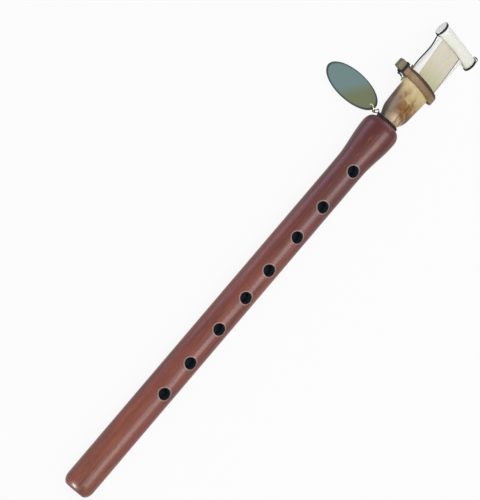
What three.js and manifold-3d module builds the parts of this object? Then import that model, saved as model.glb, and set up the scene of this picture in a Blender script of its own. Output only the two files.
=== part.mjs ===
// A duduk: a turned wooden pipe, a flattened cane reed pushed into its socket, a bridle and a
// tied cap on the reed, and an oval tag on a jump ring at the neck. Millimetres, +Z up.
// The pipe lies along +X, foot end first, as it rests on a table.
import * as THREE from "three";
import { mergeVertices } from "three/addons/utils/BufferGeometryUtils.js";
import Module from "manifold-3d";

const wasm = await Module();
wasm.setup();

// Fits shared by all pieces
const seatGap = 0.3; // between pieces that touch
const turnGap = 0.5; // between neighbouring turns of a wound thread
const overrun = 1; // how far a cutting shape passes the face that it cuts

// Wooden pipe
const pipeLength = 347.5;
const pipeRadius = 11.55;
const boreRadius = 5;
const footRoundLength = 7.5;
const footRoundDepth = 4.8;
const bulbRadius = 14.6;
const bulbFromMouth = 7.5;
const flareLength = 35;
const mouthRimWidth = 1.1;
const socketDepth = 24;
const fingerHoleRadius = 4.6;
const thumbHoleRadius = 4.4;
// Places of the holes as shares of the pipe's length from the foot
const fingerHoleShares = [0.2662, 0.3485, 0.44, 0.5252, 0.6, 0.6909, 0.7741, 0.8728];
const thumbHoleShare = 0.8234;

// Cane reed
const tenonLength = 22;
const tenonEndRadius = 6.3;
const reedMouthRadius = 7.3; // where the reed enters the pipe
const reedReach = 84; // from the pipe's mouth to the tip
const bladeHalfWidth = 14.8;
const tipHalfThickness = 1.4;
const caneWall = 1.3;
const bladeWall = 0.85;
const reedTwistDegrees = 9.8; // the reed's flat against the line of finger holes
const reedBendDegrees = 1.1; // the cane's own bend to the right, from the pipe's mouth to the tip
// Along the reed from the mouth, its growth from neck to blade, and its thickness from tip to neck
const reedOutlineShares = [
  [0, 0, 1],
  [0.05, 0.1, 1.08],
  [0.09, 0.38, 1.12],
  [0.13, 0.58, 1.09],
  [0.18, 0.69, 0.95],
  [0.27, 0.8, 0.68],
  [0.37, 0.88, 0.5],
  [0.45, 0.93, 0.44],
  [0.57, 0.94, 0.4],
  [1, 1, 0],
];

const bladeEdgeShare = 0.3; // how far the blade's edges thin out beyond a plain oval

// Thread wound on the tenon
const wrapThread = 0.6;
const wrapTurns = 8;
const wrapFromTenonEnd = 6;

// Cord wound on the neck, with its knot
const neckThread = 0.9;
const neckTurns = 2;
const neckKnotDegrees = 5; // round the neck from the reed's raised edge

// Bridle strip bent round the reed
const bridleFromMouth = 38.3;
const bridleWidth = 7.5;
const bridleThickness = 2;
const bridleFoldReach = 18.2;
const bridleEndReach = 27.5;
const bridleTieReach = 17.8;
const bridleBindingReach = 21.2;
const bridleLeaveDegrees = 45; // where the strip leaves the reed's face, up from its flat
const bridleCornerRoom = 0.2; // more room for the thread as it turns the strip's corners
const legGap = 0.25; // half the space between the strip's two legs
const bridleThread = 0.7;
const bridleTurns = 2;

// Cap: two half-round slats tied round the tip
const capFromTip = 4.6;
const capLeftReach = 19.7;
const capRightReach = 22.7;
const capEndWidth = 10.4;
const capWaistWidth = 9;
const slatEndThickness = 3;
const slatMiddleThickness = 2.3;
const slatBow = 0.7; // room over the blade at the middle of a slat
const slatGap = 0.25; // half the space between the slats at their ends
const bindingInset = 1.5;
const capThread = 0.6;
const capTurns = 2;
// Round the cap, where the knots of its threads lie
const capLeftKnotDegrees = 160;
const capRightKnotDegrees = 15;

// Knots of the wound threads
const knotRoom = 0.35; // between a knot and the turns under it, over the space between turns
const knotLengthShare = 2.5; // of the thread's diameter
const knotHeightShare = 1.6; // of the thread's diameter
const knotSpreadShare = 0.8; // of the pitch, from the knot's middle to each end of the thread
const knotLeaveShare = 0.125; // of a turn, over which an end rises from the turns to its knot

// Cut ends of the bridle's thread: from the bridle's middle along the pipe, across and out
const bridleTailRoutes = [
  [[-5.65, 21.2, 0.3], [-5.85, 19.9, 0.9], [-6.15, 18.2, 1.2], [-6.35, 16.4, 0.9]],
  [[-5.65, 21.2, -0.2], [-5.05, 19.8, -0.5], [-4.8, 18.4, -0.6], [-4.9, 17.1, -0.5]],
];

// Thread between the bridle and the cap: from the bridle's middle along the pipe, across and out.
// Its straight end is held between the reed's edge and the bridle's tie, and pulls through there.
const tetherDiameter = 1;
const tetherRoute = [
  [-7.8, 15.25, 0],
  [-4, 15.25, 0],
  [0, 15.25, 0],
  [4.2, 15.25, 0],
  [6, 15.5, 0.4],
  [8.2, 16.2, 1.2],
  [11.2, 16.7, 1.7],
  [15.2, 16.8, 1.9],
  [19.5, 16.7, 2],
  [24, 16.7, 2],
  [27.5, 16.9, 1.9],
  [30.4, 17.3, 1.7],
  [32.4, 17.9, 1.7],
];

// Tag, jump ring and the cord that holds them
const tagLength = 49;
const tagWidth = 23.2;
const tagThickness = 0.8;
const tagRimWidth = 0.8;
const tagRimRise = 0.2;
const tagHoleInset = 4;
const tagHoleRoom = 0.45; // round the ring's wire
const ringRadius = 3.3;
const ringWire = 1;
const ringOutward = 14.55; // from the pipe's axis to the ring's centre
const ringFromMouth = 3.7;
const ringDrop = 1.5; // of the ring's centre below the pipe's axis
const ringTurnDegrees = 31;
const tagTurnDegrees = 8;
const tagCordDiameter = 0.7;
// The cord from the neck's knot through the ring and back: from the pipe's mouth, outward and up
const tagCordRoute = [
  [2.7, 9.55, 6.95],
  [3.6, 10.1, 5.9],
  [4.5, 11, 4.1],
  [4.7, 11.3, 2],
  [4.2, 11.4, 0.6],
  [3.75, 12.1, -0.1],
  [2.8, 13.05, -0.3],
  [1.75, 13.4, -0.1],
  [1.1, 13, 0.7],
  [0.95, 12.2, 2.2],
  [1, 11.3, 4.1],
  [1.3, 10.2, 5.8],
  [1.8, 9.65, 6.95],
];

// Steps of the round shapes
const pipeSegments = 40;
const reedSegments = 28;
const reedStations = 18;
const loopSteps = 24;
const threadSides = 6;
const tetherSides = 8;
const wireSides = 8;
const holeSegments = 24;
const ovalSegments = 48;
const knotSegments = 10;
const knotRings = 8;
const stepsPerPoint = 3; // of a thread that runs through given points

// Values worked out from the sizes
const bulbAt = pipeLength - bulbFromMouth;
const flareStart = bulbAt - flareLength;
const bridleAt = pipeLength + bridleFromMouth;
const capFromMouth = reedReach - capFromTip;
const capAt = pipeLength + capFromMouth;
const wrapRise = seatGap + wrapThread;
const socketRise = wrapRise + seatGap;
const socketMouthRadius = reedMouthRadius + socketRise;
const tenonTaper = (reedMouthRadius - tenonEndRadius) / tenonLength;
const socketFloorRadius = socketMouthRadius - tenonTaper * socketDepth;
const mouthFaceRadius = socketMouthRadius + mouthRimWidth;
// Set out by this share, a round winding's straight steps stay clear of what is inside it
const stepShare = 1 / Math.cos(Math.PI / loopSteps);
const radians = THREE.MathUtils.degToRad;
const up = new THREE.Vector3(0, 0, 1);

// Turns a section drawn across the reed so that its depth runs along the pipe
const acrossReed = new THREE.Matrix4().makeBasis(
  new THREE.Vector3(0, 1, 0),
  new THREE.Vector3(0, 0, 1),
  new THREE.Vector3(1, 0, 0),
);

// How far below the pipe's axis the table lies, where the pipe rests on its foot and its bulb
function tableDropAt(along) {
  const restSlope = (bulbRadius - pipeRadius) / (bulbAt - footRoundLength);
  return bulbRadius + restSlope * (along - bulbAt);
}

// The turn that brings a corner, out by reach and up by rise, down to a depth
function turnToDepth(reach, rise, depth) {
  return Math.asin(depth / Math.hypot(reach, rise)) - Math.atan2(rise, reach);
}

// The head leans until the cap's corner meets the table
const leanAngle = turnToDepth(capRightReach, slatGap + slatEndThickness, tableDropAt(capAt));

// In the reed's own directions, the turn from the straight line of the pipe to the bent part of the reed
function reedBend() {
  const mouth = new THREE.Matrix4().makeTranslation(pipeLength, 0, 0);
  const lean = new THREE.Matrix4().makeRotationX(leanAngle);
  const bend = new THREE.Matrix4().makeRotationZ(-radians(reedBendDegrees));
  const turned = lean.clone().invert().multiply(bend).multiply(lean);
  return mouth.clone().multiply(turned).multiply(mouth.clone().invert());
}

function material(color, roughness, metalness = 0) {
  return new THREE.MeshStandardMaterial({ color, roughness, metalness });
}

const lacqueredWood = material(0x7c473d, 0.3);
const cane = material(0xc4a88d, 0.6);
const darkCane = material(0x8a7059, 0.5);
const paleCane = material(0xe8e6d6, 0.6);
const blackThread = material(0x22262b, 0.8);
const oliveThread = material(0x3b4148, 0.8);
const plateMetal = material(0x768a80, 0.35, 0.8);
const yellowMetal = material(0xc9b458, 0.3, 0.9);

// A closed geometry as a solid that can be joined and cut
function solidOf(geometry) {
  const bare = geometry.clone();
  bare.deleteAttribute("normal");
  bare.deleteAttribute("uv");
  const merged = mergeVertices(bare);
  const made = new wasm.Manifold(
    new wasm.Mesh({
      numProp: 3,
      vertProperties: merged.getAttribute("position").array,
      triVerts: new Uint32Array(merged.index.array),
    }),
  );
  return made;
}

function geometryOf(solid) {
  const mesh = solid.getMesh();
  const geometry = new THREE.BufferGeometry();
  geometry.setAttribute("position", new THREE.BufferAttribute(mesh.vertProperties, mesh.numProp));
  geometry.setIndex(new THREE.BufferAttribute(mesh.triVerts, 1));
  geometry.computeVertexNormals();
  return geometry;
}

function joined(...geometries) {
  const [first, ...rest] = geometries.map(solidOf);
  return geometryOf(rest.reduce((whole, piece) => whole.add(piece), first));
}

function cut(geometry, cutters) {
  return geometryOf(cutters.map(solidOf).reduce((whole, piece) => whole.subtract(piece), solidOf(geometry)));
}

// A closed skin over rings of points. Where the last ring doesn't meet the first, both ends are capped.
function skin(rings, closed) {
  const around = rings[0].length;
  const points = rings.flat();
  const faces = [];
  const spans = closed ? rings.length : rings.length - 1;
  for (let i = 0; i < spans; i++) {
    const here = i * around;
    const next = ((i + 1) % rings.length) * around;
    for (let j = 0; j < around; j++) {
      const k = (j + 1) % around;
      faces.push(here + j, here + k, next + k, here + j, next + k, next + j);
    }
  }
  if (!closed) {
    const middle = (ring) =>
      ring.reduce((sum, point) => sum.add(point), new THREE.Vector3()).divideScalar(around);
    const first = points.push(middle(rings[0])) - 1;
    const last = points.push(middle(rings[rings.length - 1])) - 1;
    const lastRing = (rings.length - 1) * around;
    for (let j = 0; j < around; j++) {
      const k = (j + 1) % around;
      faces.push(first, k, j, last, lastRing + j, lastRing + k);
    }
  }
  const geometry = new THREE.BufferGeometry().setFromPoints(points);
  geometry.setIndex(faces);
  geometry.computeVertexNormals();
  return geometry;
}

// A tube round a line of points, with flat ends
function tube(line, diameter, sides = threadSides) {
  const along = line.map((point, i) => {
    const before = line[Math.max(i - 1, 0)];
    const after = line[Math.min(i + 1, line.length - 1)];
    return after.clone().sub(before).normalize();
  });
  const start = Math.abs(along[0].z) < Math.SQRT1_2 ? up : new THREE.Vector3(1, 0, 0);
  let side = start.clone().cross(along[0]).normalize();
  const rings = line.map((point, i) => {
    side = side.clone().addScaledVector(along[i], -side.dot(along[i])).normalize();
    const other = along[i].clone().cross(side);
    return Array.from({ length: sides }, (_, j) => {
      const angle = (2 * Math.PI * j) / sides;
      return point
        .clone()
        .addScaledVector(side, (Math.cos(angle) * diameter) / 2)
        .addScaledVector(other, (Math.sin(angle) * diameter) / 2);
    });
  });
  return skin(rings, false);
}

function smoothLine(points, steps) {
  return new THREE.CatmullRomCurve3(points, false, "centripetal").getSpacedPoints(steps);
}

// A thread through given points, from a place along the pipe
function threadThrough(route, from, diameter, sides = threadSides) {
  const points = route.map(([x, y, z]) => new THREE.Vector3(from + x, y, z));
  return tube(smoothLine(points, stepsPerPoint * route.length), diameter, sides);
}

// Least space between two parts of a thread that aren't next to each other along it
function leastGap(line, diameter) {
  const nextShare = 4;
  const apart = nextShare * diameter;
  const travelled = [0];
  for (let i = 1; i < line.length; i++) {
    travelled.push(travelled[i - 1] + line[i].distanceTo(line[i - 1]));
  }
  const toSegment = (point, from, to) => {
    const nearest = new THREE.Line3(from, to).closestPointToPoint(point, true, new THREE.Vector3());
    return nearest.distanceTo(point);
  };
  let least = Infinity;
  for (let i = 0; i < line.length; i++) {
    for (let j = i + 1; j < line.length - 1; j++) {
      if (travelled[j] - travelled[i] > apart) {
        least = Math.min(least, toSegment(line[i], line[j], line[j + 1]) - diameter);
      }
    }
  }
  return least;
}

// A thread wound round a closed outline, its ends lifted into one knot outside the turns.
// The outline's first point is under the knot, and place() sets a point of it in space.
function woundThread({ name, outline, turns, diameter, place, extras = [] }) {
  const pitch = diameter + turnGap;
  const lift = diameter + turnGap + knotRoom;
  const knotLength = knotLengthShare * diameter;
  const knotHeight = knotHeightShare * diameter;
  const spread = knotSpreadShare * pitch;
  const count = outline.length;
  const middle = outline.reduce((sum, point) => sum.add(point), new THREE.Vector2()).divideScalar(count);
  const outward = outline[0].clone().sub(middle).normalize();
  const sideways = new THREE.Vector2(-outward.y, outward.x);
  const knotAt = outline[0].clone().addScaledVector(outward, lift);
  // One end of the thread: sideways from the knot's middle, on its own side of the winding
  const endAt = (side, away) => {
    const point = knotAt.clone().addScaledVector(sideways, side * away);
    return place(point.x, point.y, -side * spread);
  };
  const straight = knotLength / 2 + diameter;
  const skipped = Math.ceil(count * knotLeaveShare);
  const points = [endAt(1, 0), endAt(1, knotLength / 2), endAt(1, straight)];
  for (let i = skipped; i <= turns * count - skipped; i++) {
    const { x, y } = outline[i % count];
    points.push(place(x, y, pitch * (i / count - turns / 2)));
  }
  points.push(endAt(-1, straight), endAt(-1, knotLength / 2), endAt(-1, 0));
  const line = smoothLine(points, turns * loopSteps);
  const gap = Math.min(leastGap(line, diameter), lift - diameter / 2 - knotHeight / 2);
  console.log(name + ": least gap to itself " + gap.toFixed(2) + " mm");
  const knot = new THREE.SphereGeometry(1, knotSegments, knotRings);
  const across = place(outward.x, outward.y, 0).sub(place(0, 0, 0));
  const along = place(sideways.x, sideways.y, 0).sub(place(0, 0, 0));
  const beside = along.clone().cross(across);
  knot.applyMatrix4(
    new THREE.Matrix4()
      .makeBasis(
        along.multiplyScalar(knotLength / 2),
        across.multiplyScalar(knotHeight / 2),
        beside.multiplyScalar(spread + diameter / 2),
      )
      .setPosition(place(knotAt.x, knotAt.y, 0)),
  );
  return joined(tube(line, diameter), knot, ...extras);
}

// Outlines for windings, each from the point under its knot
function ovalOutline(halfWidth, halfHeight, startDegrees) {
  return Array.from({ length: loopSteps }, (_, i) => {
    const angle = radians(startDegrees) + (2 * Math.PI * i) / loopSteps;
    return new THREE.Vector2(halfWidth * Math.cos(angle), halfHeight * Math.sin(angle));
  });
}

function boxOutline(halfWidth, halfHeight, corner) {
  const perCorner = loopSteps / 4 - 1;
  const points = [new THREE.Vector2(-halfWidth, 0)];
  const corners = [
    [-1, -1, Math.PI],
    [1, -1, 1.5 * Math.PI],
    [1, 1, 0],
    [-1, 1, 0.5 * Math.PI],
  ];
  const between = [[0, -halfHeight], [halfWidth, 0], [0, halfHeight]];
  corners.forEach(([x, y, turned], index) => {
    const centre = new THREE.Vector2(x * (halfWidth - corner), y * (halfHeight - corner));
    for (let i = 0; i < perCorner; i++) {
      const angle = turned + (i / (perCorner - 1)) * (Math.PI / 2);
      points.push(new THREE.Vector2(Math.cos(angle), Math.sin(angle)).multiplyScalar(corner).add(centre));
    }
    if (between[index]) {
      points.push(new THREE.Vector2(...between[index]));
    }
  });
  return points;
}

function meshOf(name, geometry, finish) {
  const mesh = new THREE.Mesh(geometry, finish);
  mesh.name = name;
  return mesh;
}

// Pipe, with its holes along local +Z and the thumb's hole below
function pipe() {
  const profile = [];
  const add = (along, radius) => profile.push(new THREE.Vector2(radius, along));
  const roundSteps = 5;
  const flareSteps = 8;
  add(0, boreRadius);
  for (let i = 0; i <= roundSteps; i++) {
    const angle = (i / roundSteps) * (Math.PI / 2);
    add(footRoundLength * (1 - Math.cos(angle)), pipeRadius - footRoundDepth * (1 - Math.sin(angle)));
  }
  for (let i = 0; i <= flareSteps; i++) {
    const share = i / flareSteps;
    const swell = (1 - Math.cos(Math.PI * share)) / 2;
    add(flareStart + flareLength * share, pipeRadius + (bulbRadius - pipeRadius) * swell);
  }
  for (let i = 1; i <= roundSteps; i++) {
    const angle = (i / roundSteps) * (Math.PI / 2);
    const fall = mouthFaceRadius + (bulbRadius - mouthFaceRadius) * Math.cos(angle);
    add(bulbAt + bulbFromMouth * Math.sin(angle), fall);
  }
  add(pipeLength, socketMouthRadius);
  add(pipeLength - socketDepth, socketFloorRadius);
  add(pipeLength - socketDepth, boreRadius);
  add(0, boreRadius);
  const turned = new THREE.LatheGeometry(profile, pipeSegments);
  turned.rotateZ(-Math.PI / 2);
  const cutterLength = bulbRadius + overrun;
  const hole = (share, radius, side) => {
    const cutter = new THREE.CylinderGeometry(radius, radius, cutterLength, holeSegments);
    cutter.rotateX(Math.PI / 2);
    cutter.translate(share * pipeLength, 0, (side * cutterLength) / 2);
    return cutter;
  };
  const cutters = fingerHoleShares.map((share) => hole(share, fingerHoleRadius, 1));
  cutters.push(hole(thumbHoleShare, thumbHoleRadius, -1));
  return cut(turned, cutters);
}

// A smooth curve through rows of [place, value, value], read at one place
function readTable(rows, at) {
  const slope = (i, column) => {
    const before = rows[Math.max(i - 1, 0)];
    const after = rows[Math.min(i + 1, rows.length - 1)];
    return (after[column] - before[column]) / (after[0] - before[0]);
  };
  const above = rows.findIndex((row) => row[0] > at);
  const i = above < 1 ? rows.length - 2 : above - 1;
  const span = rows[i + 1][0] - rows[i][0];
  const t = (at - rows[i][0]) / span;
  return [1, 2].map((column) => {
    const from = (1 + 2 * t) * (1 - t) ** 2 * rows[i][column] + t * (1 - t) ** 2 * span * slope(i, column);
    const to = t ** 2 * (3 - 2 * t) * rows[i + 1][column] + t ** 2 * (t - 1) * span * slope(i + 1, column);
    return from + to;
  });
}

// Half sizes of the reed's outside at a distance from the pipe's mouth
function reedAt(fromMouth) {
  if (fromMouth <= 0) {
    const radius = reedMouthRadius + tenonTaper * fromMouth;
    return { halfWidth: radius, halfThickness: radius, thin: 0 };
  }
  const [growth, thickness] = readTable(reedOutlineShares, fromMouth / reedReach);
  return {
    halfWidth: reedMouthRadius + (bladeHalfWidth - reedMouthRadius) * growth,
    halfThickness: tipHalfThickness + (reedMouthRadius - tipHalfThickness) * thickness,
    thin: THREE.MathUtils.clamp(1 - thickness, 0, 1),
  };
}

// One ring of the reed, in from its outside by the wall where inside is true
function reedRing(fromMouth, inside) {
  const { halfWidth, halfThickness, thin } = reedAt(fromMouth);
  const faceWall = THREE.MathUtils.lerp(caneWall, bladeWall, thin);
  const width = inside ? halfWidth - caneWall : halfWidth;
  const height = inside ? halfThickness - faceWall : halfThickness;
  const edgePower = 1 + bladeEdgeShare * thin;
  return Array.from({ length: reedSegments }, (_, i) => {
    const angle = (2 * Math.PI * i) / reedSegments;
    const rise = Math.sign(Math.sin(angle)) * Math.abs(Math.sin(angle)) ** edgePower;
    return new THREE.Vector3(pipeLength + fromMouth, width * Math.cos(angle), height * rise);
  });
}

function reedCane() {
  const bend = reedBend();
  const bent = (ring) => ring.map((point) => (point.x > pipeLength ? point.applyMatrix4(bend) : point));
  const places = [-tenonLength, -tenonLength / 2];
  for (let i = 0; i <= reedStations; i++) {
    places.push((i / reedStations) * reedReach);
  }
  const outside = places.map((place) => bent(reedRing(place, false)));
  const inside = places.map((place) => bent(reedRing(place, true))).reverse();
  return skin([...outside, ...inside], true);
}

// Thread wound along the tenon. Each end runs on straight for one diameter.
function tenonWrap() {
  const pitch = wrapThread + turnGap;
  const start = wrapFromTenonEnd - tenonLength;
  const at = (step) => {
    const fromMouth = start + (pitch * step) / loopSteps;
    const radius = reedAt(fromMouth).halfWidth + (seatGap + wrapThread / 2) * stepShare;
    const angle = (2 * Math.PI * step) / loopSteps;
    return new THREE.Vector3(pipeLength + fromMouth, radius * Math.cos(angle), radius * Math.sin(angle));
  };
  const onward = (step, side) => {
    const heading = at(step + side).sub(at(step - side)).normalize();
    return at(step).addScaledVector(heading, wrapThread);
  };
  const steps = wrapTurns * loopSteps;
  const line = [onward(0, -1)];
  for (let step = 0; step <= steps; step++) {
    line.push(at(step));
  }
  line.push(onward(steps, 1));
  console.log("tenon_wrap: least gap to itself " + leastGap(line, wrapThread).toFixed(2) + " mm");
  return tube(line, wrapThread);
}

function neckCord() {
  const width = (neckTurns + 1) * neckThread + neckTurns * turnGap;
  const centre = seatGap + width / 2;
  const radius = (reedAt(centre + width / 2).halfWidth + seatGap + neckThread / 2) * stepShare;
  return woundThread({
    name: "neck_cord",
    outline: ovalOutline(radius, radius, neckKnotDegrees),
    turns: neckTurns,
    diameter: neckThread,
    place: (x, y, along) => new THREE.Vector3(pipeLength + centre + along, x, y),
  });
}

// One half of the bridle's outline across the reed, set out from its inner face by an offset:
// from the cut end, in to the tie, over the reed's face and round to the fold
function bridleHalf(offset) {
  const width = bridleFoldReach - bridleThickness + offset;
  const height = reedAt(bridleFromMouth - bridleWidth / 2).halfThickness + seatGap + offset;
  const leaveAngle = radians(bridleLeaveDegrees);
  const arcSteps = 14;
  const leave = new THREE.Vector2(width * Math.cos(leaveAngle), height * Math.sin(leaveAngle));
  const slope = new THREE.Vector2(width * Math.sin(leaveAngle), -height * Math.cos(leaveAngle)).normalize();
  const reach = (bridleTieReach - leave.x) / 2;
  const sweep = new THREE.CubicBezierCurve(
    new THREE.Vector2(bridleTieReach, legGap + offset),
    new THREE.Vector2(bridleTieReach - reach, legGap + offset),
    leave.clone().addScaledVector(slope, reach),
    leave,
  );
  const points = [new THREE.Vector2(bridleEndReach, legGap + offset), ...sweep.getPoints(arcSteps / 2)];
  for (let i = 1; i <= arcSteps; i++) {
    const angle = leaveAngle + (i / arcSteps) * (Math.PI - leaveAngle);
    points.push(new THREE.Vector2(width * Math.cos(angle), height * Math.sin(angle)));
  }
  return points;
}

// The whole hairpin: out along the front leg, round the fold and back along the other leg
function bridleStrip() {
  const below = (points) => points.slice(0, -1).map(({ x, y }) => new THREE.Vector2(x, -y)).reverse();
  const outer = bridleHalf(bridleThickness);
  const inner = bridleHalf(0);
  const around = [...outer, ...below(outer)];
  const back = [...inner, ...below(inner)].reverse();
  const section = new THREE.Shape([...around, ...back]);
  const strip = new THREE.ExtrudeGeometry(section, { depth: bridleWidth, bevelEnabled: false });
  strip.translate(0, 0, bridleAt - bridleWidth / 2);
  return strip.applyMatrix4(acrossReed);
}

function bridleBinding() {
  const clear = seatGap + bridleThread / 2 + bridleCornerRoom;
  const halfHeight = legGap + bridleThickness + clear;
  return woundThread({
    name: "bridle_binding",
    outline: boxOutline(bridleWidth / 2 + clear, halfHeight, clear),
    turns: bridleTurns,
    diameter: bridleThread,
    place: (x, y, along) => new THREE.Vector3(bridleAt + x, bridleBindingReach + along, y),
    extras: bridleTailRoutes.map((route) => threadThrough(route, bridleAt, bridleThread)),
  });
}

// Room between the cap's middle plane and a slat's inner face
function slatRise(reach) {
  const { halfThickness } = reedAt(capFromMouth - capEndWidth / 2);
  const middle = halfThickness + seatGap + slatBow;
  const centre = (capLeftReach - capRightReach) / 2;
  const half = (capLeftReach + capRightReach) / 2 - bindingInset;
  const share = THREE.MathUtils.clamp((reach - centre) / half, -1, 1);
  return slatGap + (middle - slatGap) * Math.cos((share * Math.PI) / 2);
}

// One slat, a half-round stick with a narrower waist, in front of the blade or behind it
function capSlat(side) {
  const rings = [];
  const slatStations = 14;
  const domeSteps = 10;
  const length = capLeftReach + capRightReach;
  for (let i = 0; i <= slatStations; i++) {
    const reach = -capRightReach + (i / slatStations) * length;
    const waist = Math.sin((Math.PI * i) / slatStations) ** 2;
    const halfWidth = THREE.MathUtils.lerp(capEndWidth, capWaistWidth, waist) / 2;
    const thickness = THREE.MathUtils.lerp(slatEndThickness, slatMiddleThickness, waist);
    const ring = [];
    for (let j = 0; j <= domeSteps; j++) {
      const angle = (Math.PI * j) / domeSteps;
      const height = slatRise(reach) + thickness * Math.sin(angle);
      ring.push(new THREE.Vector3(capAt - halfWidth * Math.cos(angle) * side, reach, height * side));
    }
    rings.push(ring);
  }
  return skin(rings, false);
}

// A thread tied round both slats, where they are thickest under it
function capBinding(name, reach, knotDegrees) {
  const clear = seatGap + capThread / 2;
  const innerReach = reach - Math.sign(reach) * (2 * capThread + turnGap);
  const halfWidth = (capEndWidth / 2 + clear) * stepShare;
  const halfHeight = (slatRise(innerReach) + slatEndThickness + clear) * stepShare;
  return woundThread({
    name,
    outline: ovalOutline(halfWidth, halfHeight, knotDegrees),
    turns: capTurns,
    diameter: capThread,
    place: (x, y, along) => new THREE.Vector3(capAt + x, reach + along, y),
  });
}

// The oval plate with a raised rim, drawn with its hole at the origin and its long side along +Y
function tagPlate() {
  const oval = (inset) => {
    const shape = new THREE.Shape();
    shape.absellipse(0, tagLength / 2 - tagHoleInset, tagWidth / 2 - inset, tagLength / 2 - inset, 0, 2 * Math.PI);
    return shape;
  };
  const plate = oval(0);
  const hole = new THREE.Path();
  hole.absarc(0, 0, ringWire / 2 + tagHoleRoom, 0, 2 * Math.PI, true);
  plate.holes.push(hole);
  const band = oval(0);
  band.holes.push(oval(tagRimWidth));
  const extruded = (shape, depth) => {
    const options = { depth, bevelEnabled: false, curveSegments: ovalSegments };
    return new THREE.ExtrudeGeometry(shape, options).translate(0, 0, -depth / 2);
  };
  return joined(extruded(plate, tagThickness), extruded(band, tagThickness + 2 * tagRimRise));
}

// The tag hangs from its ring and slopes down until its far side meets the table
function tagSlope() {
  const turn = radians(ringTurnDegrees - tagTurnDegrees);
  const half = Math.hypot((tagLength / 2) * Math.cos(turn), (tagWidth / 2) * Math.sin(turn));
  const reach = ringRadius + (tagLength / 2 - tagHoleInset) * Math.cos(turn) + half;
  const farEnd = pipeLength + ringFromMouth + tagLength * Math.sin(radians(tagTurnDegrees));
  return turnToDepth(reach, tagThickness / 2 + tagRimRise, tableDropAt(farEnd) - ringDrop);
}

function jumpRing() {
  return new THREE.TorusGeometry(ringRadius, ringWire / 2, wireSides, loopSteps).rotateY(Math.PI / 2);
}

// The pipe is turned so that its finger holes stand apart from the reed's flat by the reed's twist
const pipeGroup = new THREE.Group();
pipeGroup.rotation.x = leanAngle - radians(reedTwistDegrees);
pipeGroup.add(meshOf("body_tube", pipe(), lacqueredWood));

const capBindingMesh = (name, reach, knotDegrees) =>
  meshOf(name, capBinding(name, reach, knotDegrees), blackThread);
const headGroup = new THREE.Group();
headGroup.rotation.x = leanAngle;
headGroup.add(
  meshOf("reed_cane", reedCane(), cane),
  meshOf("tenon_wrap", tenonWrap(), blackThread),
  meshOf("neck_cord", neckCord(), blackThread),
);

// The pieces on the bent part of the reed
const bentGroup = new THREE.Group();
bentGroup.applyMatrix4(reedBend());
bentGroup.add(
  meshOf("bridle_strip", bridleStrip(), darkCane),
  meshOf("bridle_binding", bridleBinding(), blackThread),
  meshOf("cap_front_slat", capSlat(1), paleCane),
  meshOf("cap_back_slat", capSlat(-1), paleCane),
  capBindingMesh("cap_binding_left", capLeftReach - bindingInset, capLeftKnotDegrees),
  capBindingMesh("cap_binding_right", bindingInset - capRightReach, capRightKnotDegrees),
  meshOf("tether", threadThrough(tetherRoute, bridleAt, tetherDiameter, tetherSides), oliveThread),
);

headGroup.add(bentGroup);

const ringGroup = new THREE.Group();
ringGroup.position.set(pipeLength + ringFromMouth, ringOutward, -ringDrop);
ringGroup.rotation.z = -radians(ringTurnDegrees);
ringGroup.add(meshOf("tag_ring", jumpRing(), yellowMetal));
const slopeGroup = new THREE.Group();
slopeGroup.rotation.x = -tagSlope();
const tag = meshOf("tag_plate", tagPlate(), plateMetal);
tag.position.y = ringRadius;
tag.rotation.z = radians(ringTurnDegrees - tagTurnDegrees);
slopeGroup.add(tag);
ringGroup.add(slopeGroup);

// The origin is under the middle of the whole instrument, at its lowest point
const instrument = new THREE.Group();
const tagCord = meshOf("tag_cord", threadThrough(tagCordRoute, pipeLength, tagCordDiameter), blackThread);
instrument.add(pipeGroup, headGroup, ringGroup, tagCord);
const extent = new THREE.Box3().setFromObject(instrument, true);
const middle = extent.getCenter(new THREE.Vector3());
instrument.position.set(-middle.x, -middle.y, -extent.min.z);

export default instrument;
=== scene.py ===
"""A duduk at rest on a pale table: its pipe, reed, bridle, cap, threads and tag, with their finishes."""
import logging
import math
from dataclasses import dataclass
from enum import Enum
from typing import Callable, Sequence

import bmesh
import bpy
from mathutils import Matrix, Vector


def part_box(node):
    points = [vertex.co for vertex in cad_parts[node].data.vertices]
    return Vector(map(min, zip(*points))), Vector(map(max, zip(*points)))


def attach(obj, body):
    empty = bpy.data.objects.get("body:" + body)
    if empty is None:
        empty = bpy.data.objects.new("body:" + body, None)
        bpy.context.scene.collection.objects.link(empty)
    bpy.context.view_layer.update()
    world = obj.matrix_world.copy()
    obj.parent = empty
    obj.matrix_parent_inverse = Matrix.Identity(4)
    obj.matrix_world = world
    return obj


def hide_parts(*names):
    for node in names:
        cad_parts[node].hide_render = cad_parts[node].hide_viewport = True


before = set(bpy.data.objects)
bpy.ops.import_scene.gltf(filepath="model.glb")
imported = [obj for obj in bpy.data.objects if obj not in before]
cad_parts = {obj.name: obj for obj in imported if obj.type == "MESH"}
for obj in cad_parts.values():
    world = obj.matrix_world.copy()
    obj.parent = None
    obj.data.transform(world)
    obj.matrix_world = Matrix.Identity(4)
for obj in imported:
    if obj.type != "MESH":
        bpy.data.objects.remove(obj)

log = logging.getLogger("duduk")

MM = 0.001
MERGE = 0.002 * MM  # points closer than this are one
SHARP_DEGREES = 24.0  # faces that meet at a larger angle keep a crisp edge
THREAD_DEGREES = 60.0  # the same, on a thread
COIL_STEPS = 16  # points to a turn of a knot
BRIDLE_AT = 38.3 * MM  # from the pipe's mouth to the bridle's middle

# Short names: a colour as a screen shows it, a linear one, three lengths, from and to, and Blender's own
Tone = tuple[int, int, int]
Color = tuple[float, float, float, float]
Triple = tuple[float, float, float]
Span = tuple[float, float]
Piece = bpy.types.Object
Material = bpy.types.Material
Socket = bpy.types.NodeSocket

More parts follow.
